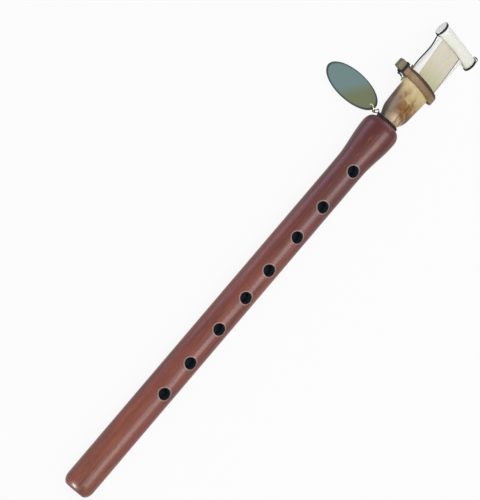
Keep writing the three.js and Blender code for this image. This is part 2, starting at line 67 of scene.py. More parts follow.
# Places in the frame: the pipe's axis, its foot and its mouth
PIPE_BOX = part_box("body_tube")
FOOT = Vector((PIPE_BOX[0].x, (PIPE_BOX[0].y + PIPE_BOX[1].y) / 2, (PIPE_BOX[0].z + PIPE_BOX[1].z) / 2))
MOUTH = Vector((PIPE_BOX[1].x, FOOT.y, FOOT.z))

# How the head and the pipe are turned about the axis
HEAD_LEAN_DEGREES = 34.031
REED_TWIST_DEGREES = 9.8
REED_BEND_DEGREES = 1.1
RING_TURN_DEGREES = 31.0
TAG_TURN_DEGREES = 8.0
TAG_SLOPE_DEGREES = 16.314


def neck_matrix() -> Matrix:
    """Give the reed's own directions at the pipe's mouth: X along the pipe, Z out of the flat."""
    return Matrix.Translation(MOUTH) @ Matrix.Rotation(math.radians(HEAD_LEAN_DEGREES), 4, "X")


def head_matrix(along: float = 0.0) -> Matrix:
    """Give the directions of the reed's bent part in the frame.

    Args:
        along: Distance from the pipe's mouth to the origin, in metres.

    Returns:
        A matrix whose X runs along the reed, Y across its flat and Z out of it.
    """
    bend = Matrix.Rotation(-math.radians(REED_BEND_DEGREES), 4, "Z")
    lean = Matrix.Rotation(math.radians(HEAD_LEAN_DEGREES), 4, "X")
    return Matrix.Translation(MOUTH) @ bend @ lean @ Matrix.Translation((along, 0, 0))


def pipe_matrix() -> Matrix:
    """Give the pipe's own directions from its foot, with the finger holes along Z."""
    turn = Matrix.Rotation(math.radians(HEAD_LEAN_DEGREES - REED_TWIST_DEGREES), 4, "X")
    return Matrix.Translation(FOOT) @ turn


# Modelling steps shared by the pieces


def object_mode() -> None:
    """Leave edit mode if a mesh is being edited."""
    if bpy.context.mode != "OBJECT":
        bpy.ops.object.mode_set(mode="OBJECT")


def select_only(*objects: Piece) -> None:
    """Select the given objects alone, the first of them active.

    Args:
        objects: The objects, at least one.
    """
    object_mode()
    bpy.ops.object.select_all(action="DESELECT")
    for obj in objects:
        obj.select_set(True)
    bpy.context.view_layer.objects.active = objects[0]


def edit(obj: Piece, mode: str = "VERT", action: str = "SELECT") -> None:
    """Enter edit mode on one object.

    Args:
        obj: The mesh object.
        mode: What is selected: VERT, EDGE or FACE.
        action: Whether everything starts selected or deselected.
    """
    select_only(obj)
    bpy.ops.object.mode_set(mode="EDIT")
    bpy.ops.mesh.select_mode(type=mode)
    bpy.ops.mesh.select_all(action=action)


def fresh(name: str) -> Piece:
    """Name the object that an operator has just added.

    Args:
        name: The piece's name.

    Returns:
        The object.
    """
    obj = bpy.context.object
    obj.name = name
    obj.data.name = name
    return obj


def start_points() -> None:
    """Deselect everything before a primitive is added."""
    object_mode()
    bpy.ops.object.select_all(action="DESELECT")


def choose_faces(obj: Piece, test: Callable[[bmesh.types.BMFace], bool]) -> None:
    """Select the faces of the edited mesh that pass a test.

    Args:
        obj: The object in edit mode, in face mode with nothing selected.
        test: Says whether a face is selected.
    """
    mesh = bmesh.from_edit_mesh(obj.data)
    for face in mesh.faces:
        if test(face):
            face.select_set(True)
    bmesh.update_edit_mesh(obj.data)


def choose_verts(obj: Piece, test: Callable[[bmesh.types.BMVert], bool]) -> None:
    """Select the points of the edited mesh that pass a test.

    Args:
        obj: The object in edit mode, in point mode with nothing selected.
        test: Says whether a point is selected.
    """
    mesh = bmesh.from_edit_mesh(obj.data)
    for vert in mesh.verts:
        vert.select_set(test(vert))
    mesh.select_flush(True)
    bmesh.update_edit_mesh(obj.data)


def choose_edges(obj: Piece, test: Callable[[bmesh.types.BMEdge], bool]) -> int:
    """Select the edges of the edited mesh that pass a test.

    Args:
        obj: The object in edit mode, in edge mode with nothing selected.
        test: Says whether an edge is selected.

    Returns:
        How many edges were selected.
    """
    mesh = bmesh.from_edit_mesh(obj.data)
    chosen = [edge for edge in mesh.edges if test(edge)]
    for edge in chosen:
        edge.select_set(True)
    bmesh.update_edit_mesh(obj.data)
    return len(chosen)


def closed_up(obj: Piece) -> None:
    """Merge an edited mesh's doubled points and turn its faces outwards.

    Args:
        obj: The object in edit mode.
    """
    bpy.ops.mesh.select_all(action="SELECT")
    bpy.ops.mesh.remove_doubles(threshold=MERGE)
    bpy.ops.mesh.normals_make_consistent(inside=False)
    object_mode()
    obj.select_set(True)


def applied(obj: Piece, kind: str, **settings: object) -> None:
    """Add a modifier and apply it.

    Args:
        obj: The mesh object.
        kind: The modifier's type.
        settings: The modifier's own values.
    """
    select_only(obj)
    modifier = obj.modifiers.new(kind.title(), kind)
    for key, value in settings.items():
        setattr(modifier, key, value)
    bpy.ops.object.modifier_apply(modifier=modifier.name)


def rounded(obj: Piece, width: float, segments: int, degrees: float) -> None:
    """Round the edges of a mesh where faces meet at more than an angle."""
    limit = math.radians(degrees)
    applied(obj, "BEVEL", width=width, segments=segments, limit_method="ANGLE", angle_limit=limit)


def cut_away(obj: Piece, tool: Piece) -> None:
    """Cut a shape out of a mesh and drop the shape."""
    applied(obj, "BOOLEAN", object=tool, operation="DIFFERENCE", solver="EXACT")
    bpy.data.objects.remove(tool, do_unlink=True)


def placed(obj: Piece, matrix: Matrix) -> None:
    """Move a mesh to its place in the frame and leave its object at the origin.

    Args:
        obj: The mesh object.
        matrix: Its own directions in the frame.
    """
    obj.matrix_world = matrix @ obj.matrix_world
    select_only(obj)
    bpy.ops.object.transform_apply(location=True, rotation=True, scale=True)


def smoothed(obj: Piece, degrees: float = SHARP_DEGREES) -> None:
    """Shade a mesh smooth, apart from edges sharper than an angle."""
    select_only(obj)
    bpy.ops.object.shade_smooth_by_angle(angle=math.radians(degrees))


def merged(name: str, pieces: Sequence[Piece]) -> Piece:
    """Join several objects in one.

    Args:
        name: The joined piece's name.
        pieces: The objects, the first of which stays.

    Returns:
        The joined object.
    """
    select_only(*pieces)
    if len(pieces) > 1:
        bpy.ops.object.join()
    return fresh(name)


def lathe(name: str, outline: Sequence[tuple[float, float]], steps: int) -> Piece:
    """Turn a closed outline about the X axis.

    Args:
        name: The piece's name.
        outline: Distances along the axis and from it, in metres, in order.
        steps: Faces round the axis.

    Returns:
        The turned object.
    """
    start_points()
    bpy.ops.mesh.primitive_plane_add(size=MM)
    obj = fresh(name)
    edit(obj)
    bpy.ops.mesh.merge(type="CENTER")
    along, out = outline[0]
    bpy.ops.transform.translate(value=(along, 0, out))
    for (x0, z0), (x1, z1) in zip(outline, [*outline[1:], outline[0]]):
        bpy.ops.mesh.extrude_region_move(TRANSFORM_OT_translate={"value": (x1 - x0, 0, z1 - z0)})
    bpy.ops.mesh.select_all(action="SELECT")
    bpy.ops.mesh.spin(steps=steps, angle=2 * math.pi, center=(0, 0, 0), axis=(1, 0, 0))
    closed_up(obj)
    return obj


def loft(name: str, sides: int, stations: Sequence[Triple]) -> Piece:
    """Draw an oval along the X axis, from station to station and back to the first.

    Args:
        name: The piece's name.
        sides: Faces round the axis.
        stations: Distance along the axis, half width along Y and half height along Z, in metres.

    Returns:
        The closed skin.
    """
    start_points()
    first, *others = stations
    bpy.ops.mesh.primitive_circle_add(
        vertices=sides, radius=1.0, fill_type="NOTHING", rotation=(0, math.pi / 2, 0)
    )
    obj = fresh(name)
    bpy.ops.object.transform_apply(location=True, rotation=True, scale=True)
    edit(obj)
    bpy.ops.transform.resize(value=(1, first[1], first[2]), center_override=(0, 0, 0))
    bpy.ops.transform.translate(value=(first[0], 0, 0))
    before = first
    for station in [*others, first]:
        along, width, height = station
        bpy.ops.mesh.extrude_region_move(TRANSFORM_OT_translate={"value": (along - before[0], 0, 0)})
        bpy.ops.transform.resize(
            value=(1, width / before[1], height / before[2]), center_override=(along, 0, 0)
        )
        before = station
    closed_up(obj)
    return obj


@dataclass(frozen=True)
class Strand:
    """A thread or cord that follows a line of points."""

    diameter: float
    plies: int = 3
    lobe_share: float = 0.1
    twist_diameters: float = 3.4
    lobe_points: int = 6

    def section(self) -> Piece:
        """Draw the thread's own section as a closed curve.

        Returns:
            The curve.
        """
        start_points()
        bpy.ops.curve.primitive_bezier_circle_add(radius=self.diameter / 2)
        section = bpy.context.object
        section.data.dimensions = "2D"
        count = self.plies * self.lobe_points
        section.data.splines.clear()
        spline = section.data.splines.new("POLY")
        spline.points.add(count - 1)
        spline.use_cyclic_u = True
        for i, point in enumerate(spline.points):
            angle = 2 * math.pi * i / count
            reach = self.diameter / 2 * (1 - self.lobe_share * (1 - math.cos(self.plies * angle)) / 2)
            point.co = (reach * math.cos(angle), reach * math.sin(angle), 0, 1)
        return section

    def follow(self, name: str, line: Sequence[Vector]) -> Piece:
        """Make the thread along a line.

        Args:
            name: The piece's name.
            line: Points along the thread's middle, close together.

        Returns:
            A closed mesh tube.
        """
        section = self.section()
        data = bpy.data.curves.new(name, "CURVE")
        data.dimensions = "3D"
        data.twist_mode = "MINIMUM"
        data.use_fill_caps = True
        data.bevel_mode = "OBJECT"
        data.bevel_object = section
        spline = data.splines.new("POLY")
        spline.points.add(len(line) - 1)
        travelled = 0.0
        for i, (point, place) in enumerate(zip(spline.points, line)):
            travelled += (place - line[i - 1]).length if i else 0.0
            point.co = (*place, 1)
            point.tilt = 2 * math.pi * travelled / (self.twist_diameters * self.diameter)
        obj = bpy.data.objects.new(name, data)
        bpy.context.scene.collection.objects.link(obj)
        select_only(obj)
        bpy.ops.object.convert(target="MESH")
        obj = bpy.context.object
        bpy.data.objects.remove(section, do_unlink=True)
        edit(obj)
        closed_up(obj)
        obj.name = name
        return obj


def smooth_line(points: Sequence[Vector], step: float) -> list[Vector]:
    """Draw a smooth line through given points.

    Args:
        points: The points, in order.
        step: About how far apart the line's own points lie.

    Returns:
        Points along the line, which passes through each given one.
    """
    line: list[Vector] = []
    padded = [2 * points[0] - points[1], *points, 2 * points[-1] - points[-2]]
    for before, start, end, after in zip(padded, padded[1:], padded[2:], padded[3:]):
        knots = [0.0]
        for a, b in ((before, start), (start, end), (end, after)):
            knots.append(knots[-1] + max((b - a).length, MERGE) ** 0.5)
        count = max(2, round((end - start).length / step))
        for i in range(count):
            at = knots[1] + (knots[2] - knots[1]) * i / count
            a1 = before.lerp(start, (at - knots[0]) / (knots[1] - knots[0]))
            a2 = start.lerp(end, (at - knots[1]) / (knots[2] - knots[1]))
            a3 = end.lerp(after, (at - knots[2]) / (knots[3] - knots[2]))
            b1 = a1.lerp(a2, (at - knots[0]) / (knots[2] - knots[0]))
            b2 = a2.lerp(a3, (at - knots[1]) / (knots[3] - knots[1]))
            line.append(b1.lerp(b2, (at - knots[1]) / (knots[2] - knots[1])))
    line.append(points[-1].copy())
    return line


def coil(start: Vector, end: Vector, across: Vector, out: Vector, turns: int) -> list[Vector]:
    """Wind a line round a straight one.

    Args:
        start: The middle of its first turn.
        end: The middle of its last turn.
        across: From the middle to where each turn begins.
        out: From the middle to a quarter of a turn on.
        turns: How many turns it has.

    Returns:
        Its points.
    """
    line = []
    for i in range(turns * COIL_STEPS + 1):
        angle = 2 * math.pi * i / COIL_STEPS
        middle = start.lerp(end, i / (turns * COIL_STEPS))
        line.append(middle + across * math.cos(angle) + out * math.sin(angle))
    return line


def oval(half_width: float, half_height: float, degrees: float, count: int) -> list[tuple[float, float]]:
    """Give the points of an oval.

    Args:
        half_width: Half its width.
        half_height: Half its height.
        degrees: Where it begins.
        count: How many points it has.

    Returns:
        Its points, across and up.
    """
    angles = [math.radians(degrees) + 2 * math.pi * i / count for i in range(count)]
    return [(half_width * math.cos(angle), half_height * math.sin(angle)) for angle in angles]


# Finishes


def linear(red: int, green: int, blue: int) -> Color:
    """Turn a colour as a screen shows it into the shader's own values.

    Args:
        red: 0 to 255.
        green: 0 to 255.
        blue: 0 to 255.

    Returns:
        Linear red, green, blue and an alpha of one.
    """
    def channel(value: int) -> float:
        """Turn one channel from sRGB to linear."""
        share = value / 255
        return share / 12.92 if share <= 0.04045 else ((share + 0.055) / 1.055) ** 2.4

    return channel(red), channel(green), channel(blue), 1.0


@dataclass(frozen=True)
class Pattern:
    """A noise in a piece's own directions."""

    scale: Triple  # pattern units per metre along each of them
    detail: float = 3.0  # how many finer layers it has
    rough: float = 0.6  # how strong they are
    distort: float = 0.0  # how much it swirls


@dataclass(frozen=True)
class Layer:
    """A tone that comes in as a value runs from one number to another."""

    tone: Tone
    start: float
    end: float
    amount: float = 1.0
    blend: str = "MIX"


class Nodes:
    """A tree of shader nodes, added one by one."""

    def __init__(self, tree: bpy.types.NodeTree) -> None:
        """Start with an empty tree."""
        self.tree = tree
        self.tree.nodes.clear()

    def fill(self, target: Socket, value: object) -> None:
        """Join a socket to another one, or give it a value of its own.

        Args:
            target: The socket.
            value: A socket, a number or a colour.
        """
        if isinstance(value, Socket):
            self.tree.links.new(value, target)
        else:
            target.default_value = value

    def node(self, kind: str, **inputs: object) -> bpy.types.Node:
        """Add a node and fill its sockets.

        Args:
            kind: The node's type, without the words that every type begins with.
            inputs: Sockets by name, with underscores for spaces, and what fills each.

        Returns:
            The node.
        """
        node = self.tree.nodes.new("ShaderNode" + kind)
        for name, value in inputs.items():
            self.fill(node.inputs[name.replace("_", " ")], value)
        return node

    def math(self, operation: str, first: object, second: object = 0.0) -> Socket:
        """Add a sum.

        Args:
            operation: Its kind, such as ADD.
            first: A socket or a number.
            second: A socket or a number.

        Returns:
            Its result.
        """
        node = self.node("Math")
        node.operation = operation
        for value, target in zip((first, second), node.inputs):
            self.fill(target, value)
        return node.outputs["Value"]

    def times(self, first: object, second: object) -> Socket:
        """Multiply two sockets or numbers."""
        return self.math("MULTIPLY", first, second)

    def plus(self, first: object, second: object) -> Socket:
        """Add two sockets or numbers."""
        return self.math("ADD", first, second)

    def blend(self, share: Socket, first: Socket, second: Socket) -> Socket:
        """Mix two shaders.

        Args:
            share: How much of the second, from 0 to 1.
            first: A shader.
            second: Another one.

        Returns:
            The mixed shader.
        """
        node = self.node("MixShader", Fac=share)
        self.fill(node.inputs[1], first)
        self.fill(node.inputs[2], second)
        return node.outputs["Shader"]

    def seen(self) -> Socket:
        """Give 1 to rays straight from the camera, off gloss or through glass, and 0 to the others.

        Returns:
            The share.
        """
        rays = self.node("LightPath").outputs
        share = rays["Is Camera Ray"]
        for name in ("Is Glossy Ray", "Is Transmission Ray"):
            share = self.math("MAXIMUM", share, rays[name])
        return share


class Recipe(Nodes):
    """A material with one shader, and the patterns that fill its sockets."""

    def __init__(self, name: str) -> None:
        """Start a material with its shader and its output.

        Args:
            name: The material's name.
        """
        self.material = bpy.data.materials.new(name)
        self.material.use_nodes = True
        super().__init__(self.material.node_tree)
        self.shader = self.node("BsdfPrincipled")
        self.output = self.node("OutputMaterial", Surface=self.shader.outputs["BSDF"])

    def set(self, **values: object) -> Material:
        """Fill the shader's sockets.

        Args:
            values: Sockets by name, with underscores for spaces, and what fills each.

        Returns:
            The material.
        """
        for key, value in values.items():
            self.fill(self.shader.inputs[key.replace("_", " ")], value)
        return self.material

    def coordinates(self, matrix: Matrix, scale: Triple = (1.0, 1.0, 1.0)) -> Socket:
        """Read places on the piece in its own directions.

        Args:
            matrix: The piece's own directions in the frame.
            scale: Pattern units per metre along each of them.

        Returns:
            The scaled coordinates.
        """
        back = matrix.inverted()
        place = self.node("TexCoord").outputs["Object"]
        turned = self.node("Mapping", Vector=place, Rotation=back.to_euler(), Location=back.translation)
        return self.node("Mapping", Vector=turned.outputs["Vector"], Scale=scale).outputs["Vector"]

    def noise(self, matrix: Matrix, pattern: Pattern) -> Socket:
        """Add a noise from 0 to 1 in the piece's own directions.

        Args:
            matrix: The piece's own directions in the frame.
            pattern: The noise's sizes.

        Returns:
            The noise.
        """
        return self.node(
            "TexNoise", Vector=self.coordinates(matrix, pattern.scale), Scale=1.0, Detail=pattern.detail,
            Roughness=pattern.rough, Distortion=pattern.distort,
        ).outputs["Fac"]

    def axis(self, vector: Socket, name: str) -> Socket:
        """Take one coordinate: X, Y or Z."""
        return self.node("SeparateXYZ", Vector=vector).outputs[name]

    def ramp(self, value: Socket, stops: Sequence[tuple[float, Color]]) -> Socket:
        """Turn a value into a colour.

        Args:
            value: The value.
            stops: Places and linear colours, in order.

        Returns:
            The colour.
        """
        node = self.node("ValToRGB", Fac=value)
        elements = node.color_ramp.elements
        elements[0].position, elements[0].color = stops[0]
        elements[1].position, elements[1].color = stops[-1]
        for place, color in stops[1:-1]:
            elements.new(place).color = color
        return node.outputs["Color"]

    def tones(self, value: Socket, *stops: tuple[float, Tone]) -> Socket:
        """Turn a value into tones, from stop to stop."""
        return self.ramp(value, [(place, linear(*tone)) for place, tone in stops])

    def band(self, value: Socket, low: float, high: float) -> Socket:
        """Rise smoothly from 0 at one value to 1 at another.

        Args:
            value: The value that it follows.
            low: Where it is 0.
            high: Where it is 1.

        Returns:
            The share.
        """
        rising = low < high
        node = self.node(
            "MapRange", Value=value, From_Min=min(low, high), From_Max=max(low, high),
            To_Min=0.0 if rising else 1.0, To_Max=1.0 if rising else 0.0,
        )
        node.interpolation_type = "SMOOTHSTEP"
        return node.outputs["Result"]

    def mix(self, share: object, first: object, second: object, blend: str = "MIX") -> Socket:
        """Mix two colours.

        Args:
            share: How much of the second, a socket or a number.
            first: A colour or a socket.
            second: A colour or a socket.
            blend: How the second is laid on.

        Returns:
            The mixed colour.
        """
        node = self.node("Mix")
        node.data_type = "RGBA"
        node.blend_type = blend
        # For colours, its sockets are 0 for the share, 6 and 7 for the two, and 2 for the result
        for value, target in zip((share, first, second), (node.inputs[0], node.inputs[6], node.inputs[7])):
            self.fill(target, value)
        return node.outputs[2]

    def lay(self, color: object, value: Socket, layer: Layer, *within: Socket) -> Socket:
        """Lay a tone on a colour.

        Args:
            color: The colour below, a linear one or a socket.
            value: What the tone comes in by.
            layer: The tone, where it comes in and how much of it.
            within: Shares from 0 to 1 that keep it to a part of the piece.

        Returns:
            The mixed colour.
        """
        share = self.band(value, layer.start, layer.end)
        for part in within:
            share = self.times(share, part)
        if layer.amount != 1.0:
            share = self.times(share, layer.amount)
        return self.mix(share, color, linear(*layer.tone), layer.blend)

    def bump(self, height: Socket, depth: float, strength: float = 1.0) -> None:
        """Raise the surface by a height pattern.

        Args:
            height: The pattern.
            depth: How deep it is where the pattern is one, in metres.
            strength: How much of it shows.
        """
        node = self.node("Bump", Strength=strength, Distance=depth, Height=height)
        before = self.shader.inputs["Normal"]
        if before.is_linked:
            self.fill(node.inputs["Normal"], before.links[0].from_socket)
        self.fill(before, node.outputs["Normal"])


@dataclass(frozen=True)
class LacqueredWood:
    """Red-brown fruit wood under a satin lacquer, its grain along the pipe and darker towards the bulb."""

    body: Tone = (126, 62, 46)
    # Towards the head, on the bulb and at the foot, by the share of the length from the foot
    length_layers: tuple[Layer, ...] = (
        Layer((92, 42, 38), 0.5, 0.85, 0.85),
        Layer((82, 17, 9), 0.86, 0.97),
        Layer((128, 68, 48), 0.2, 0.03),
    )
    grain_layers: tuple[Layer, ...] = (
        Layer((78, 28, 22), 0.5, 0.34, 0.85),
        Layer((160, 80, 48), 0.5, 0.68, 0.8),
    )
    pore_layers: tuple[Layer, ...] = (Layer((78, 28, 22), 0.42, 0.3, 0.6),)
    streaks: Pattern = Pattern((9, 150, 150), 3, 0.55, 0.6)
    fibres: Pattern = Pattern((40, 900, 900))
    pores: Pattern = Pattern((220, 4200, 4200), 1, 0.4)
    streak_share: float = 0.55
    fibre_share: float = 0.45
    relief: float = 0.015 * MM
    roughness: float = 0.45
    specular: float = 0.33
    coat: float = 0.16
    coat_roughness: float = 0.15

    def build(self, length: float) -> Material:
        """Make the material.

        Args:
            length: The pipe's length.

        Returns:
            The material.
        """
        recipe = Recipe("lacquered_wood")
        base = pipe_matrix()
        streaks, fibres = recipe.noise(base, self.streaks), recipe.noise(base, self.fibres)
        coarse, fine = recipe.times(streaks, self.streak_share), recipe.times(fibres, self.fibre_share)
        grain = recipe.plus(coarse, fine)
        along = recipe.axis(recipe.coordinates(base, (1 / length, 1, 1)), "X")
        pores = recipe.noise(base, self.pores)
        color: object = linear(*self.body)
        for value, layers in (
            (along, self.length_layers), (grain, self.grain_layers), (pores, self.pore_layers)
        ):
            for layer in layers:
                color = recipe.lay(color, value, layer)
        recipe.bump(fibres, self.relief)
        return recipe.set(
            Base_Color=color, Roughness=self.roughness, Specular_IOR_Level=self.specular,
            Coat_Weight=self.coat, Coat_Roughness=self.coat_roughness,
        )


@dataclass(frozen=True)
class BareWood:
    """Wood without lacquer: the dark oiled walls of the bore, tinted near-black and bluish as painted
    shade, or the worn rims of the holes.
    """

    name: str
    dark: Tone
    light: Tone
    roughness: float
    tones_at: Span = (0.35, 0.65)
    fibres: Pattern = Pattern((120, 1600, 1600))
    relief: float = 0.03 * MM

    def build(self) -> Material:
        """Make the material.

        Returns:
            The material.
        """
        recipe = Recipe(self.name)
        grain = recipe.noise(pipe_matrix(), self.fibres)
        recipe.bump(grain, self.relief)
        color = recipe.tones(grain, *zip(self.tones_at, (self.dark, self.light)))
        return recipe.set(Base_Color=color, Roughness=self.roughness)


@dataclass(frozen=True)
class ReedCane:
    """Cane from its mottled, polished neck to its scraped pale blade, with painted shade and a painted
    reflection on the neck and a painted highlight beside the scraped face. Its lengths are in millimetres.
    """

    # Distance from the pipe's mouth, and the cane's colour there
    neck_tones: tuple[tuple[float, Tone], ...] = (
        (0.8, (66, 50, 38)),
        (2.6, (184, 148, 108)),
        (6.5, (208, 178, 144)),
        (10.5, (146, 110, 74)),
        (16.0, (148, 104, 56)),
        (22.0, (168, 130, 78)),
        (28.0, (200, 176, 126)),
        (35.0, (224, 203, 152)),
    )
    mottles: Pattern = Pattern((150, 230, 230), 3, 0.55, 0.8)
    patches: Pattern = Pattern((75, 120, 120), 2, 0.5, 0.4)
    fibres: Pattern = Pattern((60, 1800, 1800))
    patch_shift: float = 9.0  # how far the neck's tones wander along it
    # Clouds on the neck, by the mottles' height
    clouds: tuple[Layer, ...] = (
        Layer((116, 72, 34), 0.5, 0.36, 0.75),
        Layer((222, 200, 160), 0.54, 0.68, 0.5),
    )
    clouds_to: Span = (36.0, 20.0)
    # Painted reflection on the left side of the neck, painted shade on both its edges and on its low side,
    # by the share of its half width from the middle, and where along it
    # painted reflection: a pale grey laid on the neck's left side, where its rounded side would mirror the
    # room
    left_painted_reflection: Layer = Layer((150, 140, 128), 0.35, 0.85, 0.75)
    left_painted_reflection_to: Span = (32.0, 16.0)
    # painted shade: both rounded edges of the neck darkened
    painted_edge_shade: Layer = Layer((72, 54, 36), 0.84, 0.98, 0.8)
    painted_edge_shade_to: Span = (36.0, 22.0)
    # painted shade: the neck's low side darkened, away from the light
    low_side_painted_shade: Layer = Layer((72, 54, 36), -0.25, -0.75, 0.75)
    low_side_painted_shade_from: Span = (6.0, 10.0)
    low_side_painted_shade_to: Span = (22.0, 13.0)
    # The scraped face, by the distance along the reed, and the painted highlight on its margins, by the
    # distance past its edge
    scraped: Tone = (225, 217, 196)
    straw: Layer = Layer((203, 198, 160), 66.0, 42.0)
    painted_highlight_margin: Layer = Layer((252, 251, 248), -0.1, 0.35)
    edge_line: Layer = Layer((104, 86, 62), -0.6, -0.05, 0.62)
    edge_line_to: Span = (0.75, 0.2)
    right_line: Span = (1.0, -1.0)
    left_line_share: float = 0.45
    panel_skew: float = 0.087
    panel_centre: float = 62.5
    blade_from: Span = (-2.0, 2.5)  # from the bridle's middle
    fibre_tone: Layer = Layer((104, 86, 62), 0.55, 0.3, 0.14, "MULTIPLY")
    neck_roughness: float = 0.34
    blade_roughness: float = 0.28  # added to the neck's
    specular: float = 0.22
    fibre_relief: float = 0.05 * MM
    mottle_relief: float = 0.12 * MM
    mottle_strength: float = 0.5

    def build(self, bridle_at: float, panel_half: float, half_width: Callable[[float], float]) -> Material:
        """Make the material.

        Args:
            bridle_at: Distance from the pipe's mouth to the bridle's middle.
            panel_half: Half the width of the scraped face.
            half_width: Gives half the reed's width at a distance from the pipe's mouth.

        Returns:
            The material.
        """
        recipe = Recipe("cane")
        head = head_matrix()
        reach = bridle_at / MM
        place = recipe.coordinates(head, (1 / MM, 1 / MM, 1 / MM))
        along, across = recipe.axis(place, "X"), recipe.axis(place, "Y")
        mottles, fibres = recipe.noise(head, self.mottles), recipe.noise(head, self.fibres)
        neck = self.neck_color(recipe, along, across, mottles, reach, half_width)
        panel = self.panel_color(recipe, along, across, panel_half / MM)
        low, high = self.blade_from
        blade = recipe.band(along, reach + low, reach + high)
        color = recipe.lay(recipe.mix(blade, neck, panel), fibres, self.fibre_tone)
        rough = recipe.plus(recipe.times(blade, self.blade_roughness), self.neck_roughness)
        recipe.bump(fibres, self.fibre_relief)
        recipe.bump(mottles, self.mottle_relief, self.mottle_strength)
        return recipe.set(Base_Color=color, Roughness=rough, Specular_IOR_Level=self.specular)

    def neck_color(
        self, recipe: Recipe, along: Socket, across: Socket, mottles: Socket, reach: float,
        half_width: Callable[[float], float],
    ) -> Socket:
        """Colour the neck, with its clouds, a painted reflection on its left side and painted shade on its
        edges and its low side.

        Args:
            recipe: The material.
            along: Distance along the reed.
            across: Distance across it.
            mottles: The clouds' pattern.
            reach: How far the bridle is from the pipe's mouth.
            half_width: Gives half the reed's width at a distance from the pipe's mouth, in metres.

        Returns:
            The colour.
        """
        patches = recipe.math("SUBTRACT", recipe.noise(head_matrix(), self.patches), 0.5)
        shifted = recipe.plus(along, recipe.times(patches, self.patch_shift))
        stops = [(at / reach, tone) for at, tone in self.neck_tones]
        neck = recipe.tones(recipe.math("DIVIDE", shifted, reach), *stops)
        calm = recipe.band(along, *self.clouds_to)
        for cloud in self.clouds:
            neck = recipe.lay(neck, mottles, cloud, calm)
        # The outline's half width along the reed, as a share of the widest
        halves = [half_width(at * MM) for at, _ in self.neck_tones]
        widest = max(halves)
        greys = [(place, (*(half / widest,) * 3, 1.0)) for (place, _), half in zip(stops, halves)]
        outline = recipe.ramp(recipe.math("DIVIDE", along, reach), greys)
        edge = recipe.math("DIVIDE", across, recipe.times(outline, widest / MM))
        # painted reflection on the left side, then painted shade on both edges and on the low side
        neck = recipe.lay(neck, edge, self.left_painted_reflection, recipe.band(along, *self.left_painted_reflection_to))
        either = recipe.math("ABSOLUTE", edge)
        neck = recipe.lay(neck, either, self.painted_edge_shade, recipe.band(along, *self.painted_edge_shade_to))
        return recipe.lay(
            neck, edge, self.low_side_painted_shade,
            recipe.band(along, *self.low_side_painted_shade_to), recipe.band(along, *self.low_side_painted_shade_from),
        )

    def panel_color(self, recipe: Recipe, along: Socket, across: Socket, side: float) -> Socket:
        """Colour the scraped face, the painted highlight on its margins and the lines between them.

        Args:
            recipe: The material.
            along: Distance along the reed.
            across: Distance across it.
            side: Half the width of the scraped face.

        Returns:
            The colour.
        """
        centre = recipe.times(recipe.math("SUBTRACT", along, self.panel_centre), self.panel_skew)
        offset = recipe.math("SUBTRACT", across, centre)
        past = recipe.math("SUBTRACT", recipe.math("ABSOLUTE", offset), side)
        panel = recipe.lay(linear(*self.scraped), along, self.straw)
        # painted highlight: the margins beside the scraped face are coloured nearly white
        panel = recipe.lay(panel, past, self.painted_highlight_margin)
        stronger = recipe.plus(recipe.band(offset, *self.right_line), self.left_line_share)
        return recipe.lay(panel, past, self.edge_line, recipe.band(past, *self.edge_line_to), stronger)


@dataclass(frozen=True)
class StripCane:
    """A split cane surface with fibres along the strip and painted shade along each edge."""

    name: str
    body: Tone
    dark: Tone
    # Painted shade along each edge by the share of the half width, and the cut end by the distance past it
    # in millimetres
    far_edge_painted_shade: Layer
    near_edge_painted_shade: Layer
    cut_end: Layer
    roughness: float
    tones_at: Span = (0.36, 0.6)
    fibre_share: float = 0.5
    fibres: Pattern = Pattern((1500, 55, 500))
    patches: Pattern = Pattern((300, 60, 120), 2, 0.5)
    specular: float = 0.2
    relief: float = 0.05 * MM

    def build(self, middle: Matrix, half_width: float, end_reach: float) -> Material:
        """Make the material.

        Args:
            middle: The strip's own directions, with X across its width and Y along it.
            half_width: Half the strip's width.
            end_reach: How far along it the cut end lies.

        Returns:
            The material.
        """
        recipe = Recipe(self.name)
        place = recipe.coordinates(middle, (1 / half_width, 1 / MM, 1 / MM))
        fibres, patches = recipe.noise(middle, self.fibres), recipe.noise(middle, self.patches)
        fine, coarse = recipe.times(fibres, self.fibre_share), recipe.times(patches, 1 - self.fibre_share)
        grain = recipe.plus(fine, coarse)
        color = recipe.tones(grain, *zip(self.tones_at, (self.dark, self.body)))
        across = recipe.axis(place, "X")
        past = recipe.math("SUBTRACT", recipe.axis(place, "Y"), end_reach / MM)
        # painted shade along the far and near edges, then the cut end's tone
        for value, layer in ((across, self.far_edge_painted_shade), (across, self.near_edge_painted_shade), (past, self.cut_end)):
            color = recipe.lay(color, value, layer)
        recipe.bump(fibres, self.relief)
        return recipe.set(Base_Color=color, Roughness=self.roughness, Specular_IOR_Level=self.specular)


DARK_CANE = StripCane(
    name="dark_cane",
    body=(160, 131, 96),
    dark=(118, 91, 62),
    # painted shade: a dark band along each edge of the bridle
    far_edge_painted_shade=Layer((50, 38, 34), 0.34, 0.69, 0.9),
    near_edge_painted_shade=Layer((84, 60, 34), -0.7, -0.95, 0.9),
    cut_end=Layer((128, 121, 99), -5.4, -4.4, 0.9),
    roughness=0.42,
)
PALE_CANE = StripCane(
    name="pale_cane",
    body=(246, 246, 236),
    dark=(236, 235, 221),
    # painted shade: grey along the cap's outer edge and brownish along its lower edge
    far_edge_painted_shade=Layer((214, 216, 212), 0.72, 1.07, 0.9),
    near_edge_painted_shade=Layer((206, 198, 174), -0.78, -1.03, 0.9),
    # painted light: the cap's left end, which faces away from the lamps, is coloured whiter than the slat
    cut_end=Layer((254, 254, 248), -5.4, -4.4, 0.9),
    roughness=0.5,
)


